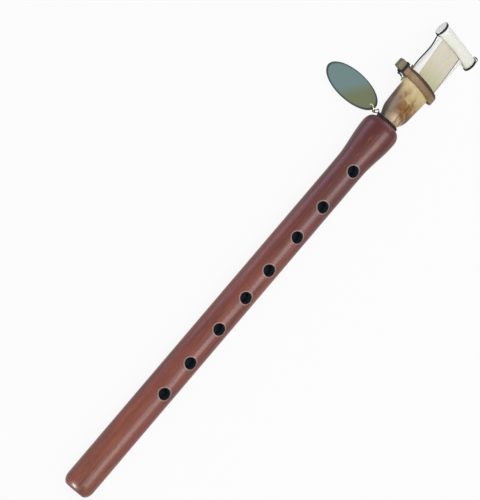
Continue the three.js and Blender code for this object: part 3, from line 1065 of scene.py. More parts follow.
@dataclass(frozen=True)
class WaxedThread:
    """Twisted thread with wax in its lay."""

    name: str = "black_thread"
    dark: Tone = (16, 18, 22)
    light: Tone = (46, 50, 56)
    tones_at: Span = (0.35, 0.7)
    # An olive stain at the thread's hidden end, by the distance past it in millimetres
    stain: Layer = Layer((120, 112, 54), 5.0, 3.5, 0.85)
    fibres: Pattern = Pattern((2600, 2600, 2600), 3, 0.7)
    relief: float = 0.03 * MM
    roughness: float = 0.6
    specular: float = 0.25
    sheen: float = 0.05

    def build(self, stained_at: float | None = None) -> Material:
        """Make the material.

        Args:
            stained_at: Distance from the pipe's mouth to where the stain begins, if the thread has one.

        Returns:
            The material.
        """
        recipe = Recipe(self.name)
        head = head_matrix()
        fibres = recipe.noise(head, self.fibres)
        color = recipe.tones(fibres, *zip(self.tones_at, (self.dark, self.light)))
        if stained_at is not None:
            along = recipe.axis(recipe.coordinates(head, (1 / MM, 1, 1)), "X")
            color = recipe.lay(color, recipe.math("SUBTRACT", along, stained_at / MM), self.stain)
        recipe.bump(fibres, self.relief)
        return recipe.set(
            Base_Color=color, Roughness=self.roughness, Specular_IOR_Level=self.specular,
            Sheen_Weight=self.sheen,
        )


@dataclass(frozen=True)
class SheetMetal:
    """Thin grey metal sheet with a fine brushed polish, and a painted reflection that turns it olive
    towards its hole.
    """

    face: Tone = (112, 134, 132)
    olive_painted_reflection: Layer = Layer((114, 121, 92), 1.1, 0.55)
    rim: Tone = (66, 78, 78)
    rim_from: Span = (0.9, 0.95)
    rim_roughness: float = 0.4
    brushing: Pattern = Pattern((2400, 90, 90))
    # clouds, slant and cloud_share shape where the painted reflection turns olive
    clouds: Pattern = Pattern((80, 60, 60), 2, 0.5)
    slant: float = 0.25
    cloud_share: float = 0.3
    roughness: float = 0.26
    brushed_roughness: float = 0.16
    metallic: float = 0.9
    relief: float = 0.004 * MM

    def build(self, matrix: Matrix, length: float, half_width: float, inset: float) -> Material:
        """Make the material.

        Args:
            matrix: The tag's own directions from its hole, with Y along it.
            length: The tag's length.
            half_width: Half its width.
            inset: Distance from its hole's middle to its near end.

        Returns:
            The material.
        """
        recipe = Recipe("plate_metal")
        place = recipe.coordinates(matrix, (1 / half_width, 2 / length, 1))
        across, from_hole = recipe.axis(place, "X"), recipe.axis(place, "Y")
        brushing, clouds = recipe.noise(matrix, self.brushing), recipe.noise(matrix, self.clouds)
        # painted reflection: the face turns olive towards the hole
        slanted = recipe.plus(from_hole, recipe.times(across, self.slant))
        along = recipe.plus(slanted, recipe.times(clouds, self.cloud_share))
        color = recipe.lay(linear(*self.face), along, self.olive_painted_reflection)
        centred = recipe.plus(from_hole, 2 * inset / length - 1)
        squares = recipe.plus(recipe.math("POWER", across, 2.0), recipe.math("POWER", centred, 2.0))
        rim = recipe.band(recipe.math("SQRT", squares), *self.rim_from)
        color = recipe.mix(rim, color, linear(*self.rim))
        rough = recipe.plus(recipe.times(brushing, self.brushed_roughness), self.roughness)
        rough = recipe.plus(rough, recipe.times(rim, self.rim_roughness))
        recipe.bump(brushing, self.relief)
        return recipe.set(Base_Color=color, Roughness=rough, Metallic=self.metallic)


@dataclass(frozen=True)
class YellowMetal:
    """Bright yellow wire with small scratches."""

    color: Tone = (224, 214, 148)
    dull: Tone = (176, 162, 98)
    tones_at: Span = (0.35, 0.6)
    scratches: Pattern = Pattern((900, 900, 900))
    relief: float = 0.01 * MM
    roughness: float = 0.24

    def build(self) -> Material:
        """Make the material.

        Returns:
            The material.
        """
        recipe = Recipe("yellow_metal")
        worn = recipe.noise(head_matrix(), self.scratches)
        recipe.bump(worn, self.relief)
        color = recipe.tones(worn, *zip(self.tones_at, (self.dull, self.color)))
        return recipe.set(Base_Color=color, Metallic=1.0, Roughness=self.roughness)


def dressed(obj: Piece, material: Material) -> None:
    """Give a piece one material and no other."""
    obj.data.materials.clear()
    obj.data.materials.append(material)


def finished(
    obj: Piece, body: str, nodes: Sequence[str], degrees: float = SHARP_DEGREES
) -> Piece:
    """Shade a piece, ride it on its body and let it stand for its solids.

    Args:
        obj: The piece.
        body: The body it moves with.
        nodes: The solids that it stands for.
        degrees: Faces that meet at a larger angle keep a crisp edge.

    Returns:
        The piece.
    """
    smoothed(obj, degrees)
    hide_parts(*nodes)
    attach(obj, body)
    log.info("%s: %d faces on %s", obj.name, len(obj.data.polygons), body)
    return obj


def tied(cord: Piece, finish: Material, matrix: Matrix, body: str, node: str) -> Piece:
    """Dress a thread, put it in its place and let it stand for its solid.

    Args:
        cord: The thread.
        finish: Its material.
        matrix: Its own directions in the frame.
        body: The body it moves with.
        node: The solid that it stands for.

    Returns:
        The thread.
    """
    dressed(cord, finish)
    placed(cord, matrix)
    return finished(cord, body, [node], THREAD_DEGREES)


# Sub-assemblies


class PipeFinish(Enum):
    """Which of the pipe's materials a face has."""

    OUTSIDE = 0
    INSIDE = 1
    RIM = 2


@dataclass
class Pipe:
    """The turned pipe with its holes."""

    length: float = 347.5 * MM
    radius: float = 11.55 * MM
    bore: float = 5 * MM
    foot_length: float = 7.5 * MM
    foot_depth: float = 4.8 * MM
    bulb_radius: float = 14.6 * MM
    bulb_from_mouth: float = 7.5 * MM
    flare_length: float = 35 * MM
    socket_radius: float = 8.5 * MM
    socket_depth: float = 24 * MM
    socket_taper: float = 1 / 22
    mouth_rim: float = 1.1 * MM
    finger_radius: float = 4.6 * MM
    thumb_radius: float = 4.4 * MM
    finger_shares: tuple[float, ...] = (0.2662, 0.3485, 0.44, 0.5252, 0.6, 0.6909, 0.7741, 0.8728)
    thumb_share: float = 0.8234
    rim_width: float = 0.85 * MM
    rim_depth: float = 0.14 * MM
    # dark oiled bore wood with painted shade: near-black and bluish, like the shaded holes
    inside: BareWood = BareWood("dark_bore_and_painted_shade", (34, 44, 52), (58, 72, 82), 0.6)
    rims: BareWood = BareWood("worn_rim", (130, 98, 90), (154, 122, 112), 0.5)
    facing_in: float = -0.5  # cosine between a bore's face and straight out, at most
    hole_sides: int = 64
    around: int = 144
    arc_steps: int = 10
    flare_steps: int = 22

    def outline(self) -> list[tuple[float, float]]:
        """Give the pipe's section from its foot's bore, over the outside and back through the bore.

        Returns:
            Distances from the foot and from the axis, in metres, in order.
        """
        points = [(0.0, self.bore)]
        for i in range(self.arc_steps + 1):
            angle = i / self.arc_steps * math.pi / 2
            points.append((
                self.foot_length * (1 - math.cos(angle)),
                self.radius - self.foot_depth * (1 - math.sin(angle)),
            ))
        bulb_at = self.length - self.bulb_from_mouth
        flare_at = bulb_at - self.flare_length
        beside = self.finger_radius + 2 * self.rim_width
        holes = [share * self.length for share in sorted((*self.finger_shares, self.thumb_share))]
        places = [hole + side * beside for hole in holes for side in (-1, 1)]
        places += [flare_at + i / self.flare_steps * self.flare_length for i in range(self.flare_steps + 1)]
        for along in sorted(places):
            clear = all(abs(along - hole) > beside - MERGE for hole in holes)
            if clear and along > points[-1][0] + self.rim_width:
                points.append((along, self.flared(along)))
        mouth = self.socket_radius + self.mouth_rim
        for i in range(1, self.arc_steps + 1):
            angle = i / self.arc_steps * math.pi / 2
            along = bulb_at + self.bulb_from_mouth * math.sin(angle)
            points.append((along, mouth + (self.bulb_radius - mouth) * math.cos(angle)))
        floor = self.length - self.socket_depth
        points.append((self.length, self.socket_radius))
        points.append((floor, self.socket_radius - self.socket_taper * self.socket_depth))
        points.append((floor, self.bore))
        return points

    def flared(self, along: float) -> float:
        """Give the outside's radius at a distance from the foot, up to the bulb's widest place.

        Args:
            along: The distance.

        Returns:
            The radius.
        """
        share = (along - self.length + self.bulb_from_mouth) / self.flare_length + 1
        swell = (1 - math.cos(math.pi * min(max(share, 0), 1))) / 2
        return self.radius + (self.bulb_radius - self.radius) * swell

    def drills(self, name: str, wider: float) -> Piece:
        """Make one cylinder for each hole, joined in one cutting shape.

        Args:
            name: The cutting shape's name.
            wider: How much larger the cylinders' radii are than the holes'.

        Returns:
            The cutting shape.
        """
        reach = self.bulb_radius
        cutters = []
        places = [(share, self.finger_radius, 1) for share in self.finger_shares]
        places.append((self.thumb_share, self.thumb_radius, -1))
        for share, radius, side in places:
            start_points()
            bpy.ops.mesh.primitive_cylinder_add(
                vertices=self.hole_sides, radius=radius + wider, depth=reach,
                location=(share * self.length, 0, side * reach / 2),
            )
            cutters.append(bpy.context.object)
        return merged(name, cutters)

    def rim_tool(self) -> Piece:
        """Make the shape that takes the lacquer's thickness away round the holes.

        Returns:
            The cutting shape.
        """
        tool = self.drills("rim_tool", self.rim_width)
        outside = [(at, out - self.rim_depth) for at, out in self.outline() if out > self.radius - MERGE]
        core = lathe("rim_core", [(outside[0][0], 0.0), *outside, (outside[-1][0], 0.0)], self.around)
        cut_away(tool, core)
        return tool

    def cut(self, pipe: Piece, tool: Piece, finish: PipeFinish) -> None:
        """Cut a shape out of the pipe and give the cut its finish.

        Args:
            pipe: The pipe.
            tool: The cutting shape.
            finish: What the cut's faces get.
        """
        for material in pipe.data.materials:
            tool.data.materials.append(material)
        for face in tool.data.polygons:
            face.material_index = finish.value
        cut_away(pipe, tool)

    def build(self) -> Piece:
        """Turn the pipe, drill its holes and wear the lacquer off round them.

        Returns:
            The pipe.
        """
        finishes = (LacqueredWood().build(self.length), self.inside.build(), self.rims.build())
        pipe = lathe("pipe", self.outline(), self.around)
        for material in finishes:
            pipe.data.materials.append(material)
        self.cut(pipe, self.drills("hole_tool", 0), PipeFinish.INSIDE)
        self.cut(pipe, self.rim_tool(), PipeFinish.RIM)
        edit(pipe, "FACE", "DESELECT")
        choose_faces(pipe, self.is_inside)
        pipe.active_material_index = PipeFinish.INSIDE.value
        bpy.ops.object.material_slot_assign()
        bpy.ops.mesh.select_all(action="DESELECT")
        bpy.ops.mesh.select_mode(type="EDGE")
        borders = choose_edges(pipe, self.is_border)
        bpy.ops.mesh.mark_sharp()
        log.info("pipe: %d edges between its finishes", borders)
        closed_up(pipe)
        placed(pipe, pipe_matrix())
        return finished(pipe, "pipe", ["body_tube"])

    def is_inside(self, face: bmesh.types.BMFace) -> bool:
        """Say whether a face is in the bore or the socket.

        Args:
            face: A face, in the pipe's own directions.

        Returns:
            Whether it is.
        """
        middle = face.calc_center_median()
        reach = math.hypot(middle.y, middle.z)
        out = (middle.y * face.normal.y + middle.z * face.normal.z) / max(reach, MERGE)
        return out < self.facing_in and reach < self.socket_radius + MERGE

    def is_border(self, edge: bmesh.types.BMEdge) -> bool:
        """Say whether an edge lies between two finishes."""
        return len({face.material_index for face in edge.link_faces}) > 1


@dataclass
class Reed:
    """The cane reed with the thread on its tenon."""

    tenon_length: float = 22 * MM
    tenon_end_radius: float = 6.3 * MM
    mouth_radius: float = 7.3 * MM
    reach: float = 84 * MM
    blade_half_width: float = 14.8 * MM
    tip_half_thickness: float = 1.4 * MM
    wall: float = 1.3 * MM
    blade_wall: float = 0.85 * MM
    panel_half: float = 10.9 * MM
    around: int = 96
    stations: int = 44
    end_ring_share: float = 0.97  # of the tenon's length, where the ring next to its end lies
    thread: float = 0.6 * MM
    thread_turns: int = 14
    thread_from_end: float = 6 * MM
    thread_length: float = 8.3 * MM
    turn_steps: int = 48
    seat: float = 0.3 * MM
    # Along the reed from the mouth, its growth from neck to blade, and its thickness from tip to neck
    outline_shares: tuple[Triple, ...] = (
        (0, 0, 1),
        (0.05, 0.1, 1.08),
        (0.09, 0.38, 1.12),
        (0.13, 0.58, 1.09),
        (0.18, 0.69, 0.95),
        (0.27, 0.8, 0.68),
        (0.37, 0.88, 0.5),
        (0.45, 0.93, 0.44),
        (0.57, 0.94, 0.4),
        (1, 1, 0),
    )

    def read_outline(self, at: float, column: int) -> float:
        """Read the outline's table on a smooth curve.

        Args:
            at: Share of the reach from the mouth.
            column: 1 for the width's growth, 2 for the thickness.

        Returns:
            The value there.
        """
        rows = self.outline_shares

        def slope(i: int) -> float:
            """Give the curve's slope at one row."""
            before, after = rows[max(i - 1, 0)], rows[min(i + 1, len(rows) - 1)]
            return (after[column] - before[column]) / (after[0] - before[0])

        i = max(k for k in range(len(rows) - 1) if rows[k][0] <= at or k == 0)
        span = rows[i + 1][0] - rows[i][0]
        t = (at - rows[i][0]) / span
        start = (1 + 2 * t) * (1 - t) ** 2 * rows[i][column] + t * (1 - t) ** 2 * span * slope(i)
        end = t ** 2 * (3 - 2 * t) * rows[i + 1][column] + t ** 2 * (t - 1) * span * slope(i + 1)
        return start + end

    def half_sizes(self, along: float) -> tuple[float, float]:
        """Give half the reed's width and thickness at a distance from the pipe's mouth.

        Args:
            along: The distance, negative on the tenon.

        Returns:
            The half width and half thickness.
        """
        if along <= 0:
            taper = (self.mouth_radius - self.tenon_end_radius) / self.tenon_length
            return (self.mouth_radius + taper * along,) * 2
        growth = self.read_outline(along / self.reach, 1)
        thickness = self.read_outline(along / self.reach, 2)
        return (
            self.mouth_radius + (self.blade_half_width - self.mouth_radius) * growth,
            self.tip_half_thickness + (self.mouth_radius - self.tip_half_thickness) * thickness,
        )

    def wall_at(self, along: float) -> float:
        """Give the wall's thickness on the flat faces at a distance from the mouth."""
        thickness = self.read_outline(max(along, 0) / self.reach, 2)
        return self.wall + (self.blade_wall - self.wall) * min(max(1 - thickness, 0), 1)

    def build(self, finish: Material) -> Piece:
        """Draw the reed's skin from the tenon to the tip, and back inside.

        Args:
            finish: The cane.

        Returns:
            The reed.
        """
        places = [-self.tenon_length * share for share in (1, self.end_ring_share, 0.5)]
        places += [i / self.stations * self.reach for i in range(self.stations + 1)]
        outside = [(along, *self.half_sizes(along)) for along in places]
        inside = [
            (along, width - self.wall, height - self.wall_at(along))
            for along, width, height in reversed(outside)
        ]
        reed = loft("reed", self.around, [*outside, *inside])
        dressed(reed, finish)
        placed(reed, neck_matrix())
        self.bend(reed)
        return finished(reed, "reed", ["reed_cane"])

    def bend(self, reed: Piece) -> None:
        """Bend the part of the reed that stands out of the pipe.

        Args:
            reed: The reed, in its place.
        """
        edit(reed, "VERT", "DESELECT")
        choose_verts(reed, lambda vert: vert.co.x > MOUTH.x + MERGE)
        bpy.ops.transform.rotate(
            value=math.radians(REED_BEND_DEGREES), orient_axis="Z", center_override=tuple(MOUTH)
        )
        object_mode()

    def build_tenon_wrap(self, finish: Material) -> Piece:
        """Wind the tenon's thread.

        Args:
            finish: The thread's material.

        Returns:
            The winding.
        """
        start = self.thread_from_end - self.tenon_length
        steps = self.thread_turns * self.turn_steps
        line = []
        for i in range(steps + 1):
            along = start + self.thread_length * i / steps
            radius = self.half_sizes(along)[0] + (self.seat + self.thread) / 2
            angle = 2 * math.pi * i / self.turn_steps
            line.append(Vector((along, radius * math.cos(angle), radius * math.sin(angle))))
        wrap = Strand(self.thread).follow("tenon_thread", line)
        return tied(wrap, finish, neck_matrix(), "reed", "tenon_wrap")


@dataclass
class Winding:
    """A thread wound several times round something and knotted outside its turns."""

    name: str
    diameter: float
    turns: int
    pitch: float
    outline: list[tuple[float, float]]
    place: Callable[[float, float, float], Vector]
    spread: float
    lift: float
    leave_share: float = 0.125  # of a turn, left free on each side of the knot
    knot_wraps: int = 3
    # In diameters: how far from the knot's middle an end turns, the line's step, and the knot's own sizes
    half_knot: float = 1.25
    line_step: float = 0.4
    knot_length: float = 1.6
    knot_across: float = 0.75
    knot_out: float = 0.45
    # How far along the piece each end lies at the knot's middle, its end and a diameter on, in spreads
    end_shares: Triple = (0.3, 0.6, 1.0)

    def build(self) -> Piece:
        """Wind the thread and tie its knot.

        Returns:
            The winding with its knot.
        """
        count = len(self.outline)
        middle = Vector((sum(x for x, _ in self.outline), sum(y for _, y in self.outline))) / count
        under = Vector(self.outline[0])
        outward = (under - middle).normalized()
        sideways = Vector((-outward.y, outward.x))
        knot_at = under + outward * self.lift

        def end_at(side: int, away: float, spread: float) -> Vector:
            """Give a point of one end of the thread."""
            point = knot_at + sideways * side * away
            return self.place(point.x, point.y, -side * spread)

        half = self.half_knot * self.diameter
        ends = [
            (away, share * self.spread)
            for away, share in zip((0, half, half + self.diameter), self.end_shares)
        ]
        skipped = math.ceil(count * self.leave_share)
        points = [end_at(1, away, spread) for away, spread in ends]
        for i in range(skipped, self.turns * count - skipped + 1):
            x, y = self.outline[i % count]
            points.append(self.place(x, y, self.pitch * (i / count - self.turns / 2)))
        points += [end_at(-1, away, spread) for away, spread in reversed(ends)]
        strand = Strand(self.diameter)
        wound = strand.follow(self.name, smooth_line(points, self.diameter * self.line_step))
        centre = self.place(knot_at.x, knot_at.y, 0)
        along = (end_at(1, 1, 0) - end_at(1, 0, 0)).normalized()
        out = (self.place(*(knot_at + outward), 0) - centre).normalized()
        run = along * (self.diameter * self.knot_length / 2)
        across = along.cross(out) * (self.diameter * self.knot_across)
        knot = coil(
            centre - run, centre + run, across, out * (self.diameter * self.knot_out), self.knot_wraps
        )
        return merged(self.name, [wound, strand.follow(self.name + "_knot", knot)])


@dataclass
class NeckCord:
    """The cord round the reed's neck, and the one from its knot through the jump ring."""

    diameter: float = 0.95 * MM
    turns: int = 2
    pitch: float = 0.98 * MM
    middle: float = 1.65 * MM
    radius: float = 8.85 * MM
    knot_degrees: float = 5.0
    spread: float = 1.1 * MM
    lift: float = 1.6 * MM
    outline_points: int = 72
    tag_cord: float = 0.7 * MM
    line_step: float = 0.2 * MM
    # From the pipe's mouth, outward and up, in millimetres
    tag_route: tuple[Triple, ...] = (
        (2.7, 9.55, 6.95),
        (3.6, 10.1, 5.9),
        (4.5, 11, 4.1),
        (4.7, 11.3, 2),
        (4.2, 11.4, 0.6),
        (3.75, 12.1, -0.1),
        (2.8, 13.05, -0.3),
        (1.75, 13.4, -0.1),
        (1.1, 13, 0.7),
        (0.95, 12.2, 2.2),
        (1, 11.3, 4.1),
        (1.3, 10.2, 5.8),
        (1.8, 9.65, 6.95),
    )

    def build(self, finish: Material) -> Piece:
        """Wind the neck's cord.

        Args:
            finish: The thread's material.

        Returns:
            The cord.
        """
        cord = Winding(
            "neck_thread", self.diameter, self.turns, self.pitch,
            oval(self.radius, self.radius, self.knot_degrees, self.outline_points),
            lambda x, y, along: Vector((self.middle + along, x, y)),
            self.spread, self.lift,
        ).build()
        return tied(cord, finish, neck_matrix(), "reed", "neck_cord")

    def build_tag_cord(self, finish: Material) -> Piece:
        """Lay the cord that holds the jump ring.

        Args:
            finish: The thread's material.

        Returns:
            The cord.
        """
        points = [MOUTH + Vector(point) * MM for point in self.tag_route]
        cord = Strand(self.tag_cord).follow("ring_thread", smooth_line(points, self.line_step))
        return tied(cord, finish, Matrix(), "reed", "tag_cord")


@dataclass
class Bridle:
    """The bent strip round the reed, and the thread that ties its ends."""

    at: float = BRIDLE_AT
    width: float = 7.5 * MM
    thickness: float = 2 * MM
    fold_reach: float = 18.2 * MM
    end_reach: float = 27.5 * MM
    tie_reach: float = 17.8 * MM
    binding_reach: float = 21.2 * MM
    leg_gap: float = 0.25 * MM
    leave_degrees: float = 45.0
    seat: float = 0.3 * MM
    end_flat: float = 3 * MM
    leg_steps: int = 14
    round_steps: int = 24
    edge_round: float = 0.8 * MM
    edge_segments: int = 3
    sharp_degrees: float = 50.0
    crisp_degrees: float = 35.0
    front_face: int = 20  # a face of the half in front of the reed
    bow: float = 0.9 * MM
    fold_length: float = 6 * MM
    fold_narrowing: float = 0.42
    fold_sway: float = 1.1 * MM
    thread: float = 0.75 * MM
    thread_turns: int = 3
    thread_pitch: float = 0.78 * MM
    thread_spread: float = 0.85 * MM
    thread_lift: float = 1.3 * MM
    clear: float = 0.62 * MM
    corner_round: float = 0.2 * MM  # added to the thread's distance from the strip
    corner_steps: int = 8
    tail_step: float = 0.25 * MM
    # From the bridle's middle along the pipe, across and out, in millimetres
    tail_routes: tuple[tuple[Triple, ...], ...] = (
        ((-5.65, 21.2, 0.3), (-5.85, 19.9, 0.9), (-6.15, 18.2, 1.2), (-6.35, 16.4, 0.9)),
        ((-5.65, 21.2, -0.2), (-5.05, 19.8, -0.5), (-4.8, 18.4, -0.6), (-4.9, 17.1, -0.5)),
    )

    def matrix(self) -> Matrix:
        """Give the bridle's own directions from its middle."""
        return head_matrix(self.at)

    def inner_half(self, reed: Reed) -> list[Vector]:
        """Give the strip's inner face from its cut end round to the fold, across and out.

        Args:
            reed: The reed that it goes round.

        Returns:
            Points of the half in front of the reed.
        """
        width = self.fold_reach - self.thickness
        height = reed.half_sizes(self.at - self.width / 2)[1] + self.seat
        leave = math.radians(self.leave_degrees)
        corner = Vector((width * math.cos(leave), height * math.sin(leave)))
        slope = Vector((width * math.sin(leave), -height * math.cos(leave))).normalized()
        reach = (self.tie_reach - corner.x) / 2
        handles = [
            Vector((self.tie_reach, self.leg_gap)),
            Vector((self.tie_reach - reach, self.leg_gap)),
            corner + slope * reach,
            corner,
        ]
        reaches = (self.end_reach, self.end_reach - self.end_flat)
        points = [Vector((reach, self.leg_gap)) for reach in reaches]
        for i in range(self.leg_steps + 1):
            t = i / self.leg_steps
            weights = ((1 - t) ** 3, 3 * t * (1 - t) ** 2, 3 * t ** 2 * (1 - t), t ** 3)
            points.append(sum((w * h for w, h in zip(weights, handles)), Vector((0, 0))))
        for i in range(1, self.round_steps + 1):
            angle = leave + i / self.round_steps * (math.pi - leave)
            points.append(Vector((width * math.cos(angle), height * math.sin(angle))))
        return points

    def into_fold(self, point: Vector) -> float:
        """Give how near a point of the path is to the fold, from 0 to 1."""
        return min(max((self.fold_length - self.fold_reach - point.x) / self.fold_length, 0), 1)

    def bowed(self, point: Vector) -> float:
        """Give how far the strip sways towards the tip at a point of its path."""
        share = min(abs(point.x) / self.tie_reach, 1)
        return self.bow * (1 - share ** 2) - self.fold_sway * self.into_fold(point) ** 2

    def narrowed(self, point: Vector) -> float:
        """Give the strip's width at a point of its path, as a share of its full width."""
        return 1 - self.fold_narrowing * self.into_fold(point) ** 2

    def build(self, reed: Reed, finish: Material) -> Piece:
        """Bend the strip, give it its thickness and round its edges.

        Args:
            reed: The reed that it goes round.
            finish: The strip's cane.

        Returns:
            The strip.
        """
        front = self.inner_half(reed)
        back = [Vector((point.x, -point.y)) for point in front[:-1]]
        path = [*front, *reversed(back)]
        start_points()
        bpy.ops.mesh.primitive_plane_add(size=self.width)
        strip = fresh("bridle")
        edit(strip, "VERT", "DESELECT")
        choose_verts(strip, lambda vert: vert.co.y < 0)
        bpy.ops.mesh.delete(type="VERT")
        bpy.ops.mesh.select_all(action="SELECT")
        bpy.ops.transform.translate(value=(0, path[0].x - self.width / 2, path[0].y))
        for here, there in zip(path, path[1:]):
            step = there - here
            sway = self.bowed(there) - self.bowed(here)
            bpy.ops.mesh.extrude_region_move(TRANSFORM_OT_translate={"value": (sway, step.x, step.y)})
            middle = (self.bowed(there), there.x, there.y)
            scale = self.narrowed(there) / self.narrowed(here)
            bpy.ops.transform.resize(value=(scale, 1, 1), center_override=middle)
        closed_up(strip)
        face = strip.data.polygons[self.front_face]
        offset = 1.0 if face.normal.z * face.center.z > 0 else -1.0
        applied(strip, "SOLIDIFY", thickness=self.thickness, offset=offset, use_even_offset=True)
        edit(strip)
        closed_up(strip)
        rounded(strip, self.edge_round, self.edge_segments, self.sharp_degrees)
        dressed(strip, finish)
        placed(strip, self.matrix())
        return finished(strip, "bridle", ["bridle_strip"], self.crisp_degrees)

    def build_binding(self, finish: Material) -> Piece:
        """Tie the strip's two legs together.

        Args:
            finish: The thread's material.

        Returns:
            The binding with its cut ends.
        """
        half = self.width / 2 + self.clear
        height = self.leg_gap + self.thickness + self.clear
        corner = self.clear + self.corner_round
        outline = [(-half, 0.0)]
        corners = ((-1, -1, math.pi), (1, -1, 1.5 * math.pi), (1, 1, 0.0), (-1, 1, 0.5 * math.pi))
        between = ((0.0, -height), (half, 0.0), (0.0, height))
        for index, (x, y, turned) in enumerate(corners):
            for i in range(self.corner_steps + 1):
                angle = turned + i / self.corner_steps * math.pi / 2
                outline.append((
                    x * (half - corner) + corner * math.cos(angle),
                    y * (height - corner) + corner * math.sin(angle),
                ))
            outline += between[index:index + 1]
        wound = Winding(
            "bridle_thread", self.thread, self.thread_turns, self.thread_pitch, outline,
            lambda x, y, along: Vector((x, self.binding_reach + along, y)),
            self.thread_spread, self.thread_lift,
        ).build()
        tails = []
        for index, route in enumerate(self.tail_routes):
            line = smooth_line([Vector(point) * MM for point in route], self.tail_step)
            tails.append(Strand(self.thread).follow(f"tail_{index}", line))
        binding = merged("bridle_thread", [wound, *tails])
        return tied(binding, finish, self.matrix(), "bridle", "bridle_binding")


class Slat(Enum):
    """Which of the cap's slats: the one in front of the blade or the one behind it."""

    FRONT = "front"
    BACK = "back"


@dataclass
class Cap:
    """Two half-round slats tied round the tip, and the thread that keeps them with the bridle."""

    at: float = 79.4 * MM
    left_reach: float = 19.7 * MM
    right_reach: float = 22.7 * MM
    end_width: float = 10.4 * MM
    waist_width: float = 9 * MM
    end_thickness: float = 3 * MM
    middle_thickness: float = 2.3 * MM
    bow: float = 0.7 * MM
    slat_gap: float = 0.25 * MM
    seat: float = 0.3 * MM
    binding_inset: float = 1.5 * MM
    thread: float = 0.62 * MM
    thread_turns: int = 3
    thread_pitch: float = 0.64 * MM
    thread_clear: float = 0.1 * MM
    thread_spread: float = 0.8 * MM
    thread_lift: float = 1.1 * MM
    outline_points: int = 64
    left_knot_degrees: float = 160.0
    right_knot_degrees: float = 15.0
    edge_round: float = 0.4 * MM
    edge_segments: int = 3
    sharp_degrees: float = 45.0
    crisp_degrees: float = 35.0
    sides: int = 40
    stations: int = 26
    inner_turn: float = 1.7 * MM
    tether: float = 1.15 * MM
    tether_step: float = 0.4 * MM
    tether_exit: int = 3  # the point of its route where it comes out from under the bridle
    hitch_wraps: int = 3
    hitch_thread: float = 0.75 * MM
    hitch_radius: float = 0.8 * MM
    hitch_length: float = 1.7 * MM
    hitch_at: Triple = (5.4, 16.1, 0.5)
    # From the bridle's middle along the pipe, across and out, in millimetres
    tether_route: tuple[Triple, ...] = (
        (-7.8, 15.25, 0),
        (-4, 15.25, 0),
        (0, 15.25, 0),
        (4.2, 15.25, 0),
        (6, 15.5, 0.4),
        (8.2, 16.2, 1.2),
        (11.2, 16.7, 1.7),
        (15.2, 16.8, 1.9),
        (19.5, 16.7, 2),
        (24, 16.7, 2),
        (27.5, 16.9, 1.9),
        (30.4, 17.3, 1.7),
        (32.4, 17.9, 1.7),
        (33.6, 18.1, 1.7),
    )

    def rise(self, reach: float, reed: Reed) -> float:
        """Give the room between the cap's middle plane and a slat's inner face.

        Args:
            reach: How far across the place lies.
            reed: The reed between the slats.

        Returns:
            The room.
        """
        middle = reed.half_sizes(self.at - self.end_width / 2)[1] + self.seat + self.bow
        centre = (self.left_reach - self.right_reach) / 2
        half = (self.left_reach + self.right_reach) / 2 - self.binding_inset
        share = min(max((reach - centre) / half, -1), 1)
        return self.slat_gap + (middle - self.slat_gap) * math.cos(share * math.pi / 2)

    def build_slat(self, which: Slat, reed: Reed, finish: Material) -> Piece:
        """Carve one slat.

        Args:
            which: The slat in front of the blade or the one behind it.
            reed: The reed that it lies on.
            finish: The slat's cane.

        Returns:
            The slat.
        """
        start_points()
        bpy.ops.mesh.primitive_circle_add(
            vertices=self.sides, radius=1.0, fill_type="NGON", rotation=(math.pi / 2, 0, 0)
        )
        slat = fresh(f"{which.value}_slat")
        bpy.ops.object.transform_apply(location=True, rotation=True, scale=True)
        edit(slat)
        bpy.ops.mesh.bisect(plane_co=(0, 0, 0), plane_no=(0, 0, 1), clear_inner=True, use_fill=False)
        bpy.ops.mesh.select_all(action="SELECT")
        length = self.left_reach + self.right_reach
        before = (0.0, 1.0, 1.0, 0.0)
        for i in range(self.stations + 1):
            reach = -self.right_reach + i / self.stations * length
            waist = math.sin(math.pi * i / self.stations) ** 2
            half = (self.end_width + (self.waist_width - self.end_width) * waist) / 2
            thick = self.end_thickness + (self.middle_thickness - self.end_thickness) * waist
            rise = self.rise(reach, reed)
            move = (0, reach - before[0], rise - before[3])
            if i:
                bpy.ops.mesh.extrude_region_move(TRANSFORM_OT_translate={"value": move})
            else:
                bpy.ops.transform.translate(value=move)
            scale = (half / before[1], 1, thick / before[2])
            bpy.ops.transform.resize(value=scale, center_override=(0, reach, rise))
            before = (reach, half, thick, rise)
        closed_up(slat)
        if which is Slat.BACK:
            placed(slat, Matrix.Rotation(math.pi, 4, "Y"))
        rounded(slat, self.edge_round, self.edge_segments, self.sharp_degrees)
        dressed(slat, finish)
        placed(slat, head_matrix(self.at))
        return finished(slat, "cap", [f"cap_{which.value}_slat"], self.crisp_degrees)

    def build_binding(
        self, name: str, node: str, reach: float, degrees: float, reed: Reed, finish: Material
    ) -> Piece:
        """Tie one end of the cap.

        Args:
            name: The piece's name.
            node: The solid that it stands for.
            reach: How far across it lies.
            degrees: Where its knot is, round the cap.
            reed: The reed between the slats.
            finish: The thread's material.

        Returns:
            The binding.
        """
        clear = self.thread_clear + self.thread / 2
        inner = reach - math.copysign(self.inner_turn, reach)
        half_width = self.end_width / 2 + clear
        half_height = self.rise(inner, reed) + self.end_thickness + clear
        binding = Winding(
            name, self.thread, self.thread_turns, self.thread_pitch,
            oval(half_width, half_height, degrees, self.outline_points),
            lambda x, y, along: Vector((x, reach + along, y)),
            self.thread_spread, self.thread_lift,
        ).build()
        return tied(binding, finish, head_matrix(self.at), "cap", node)

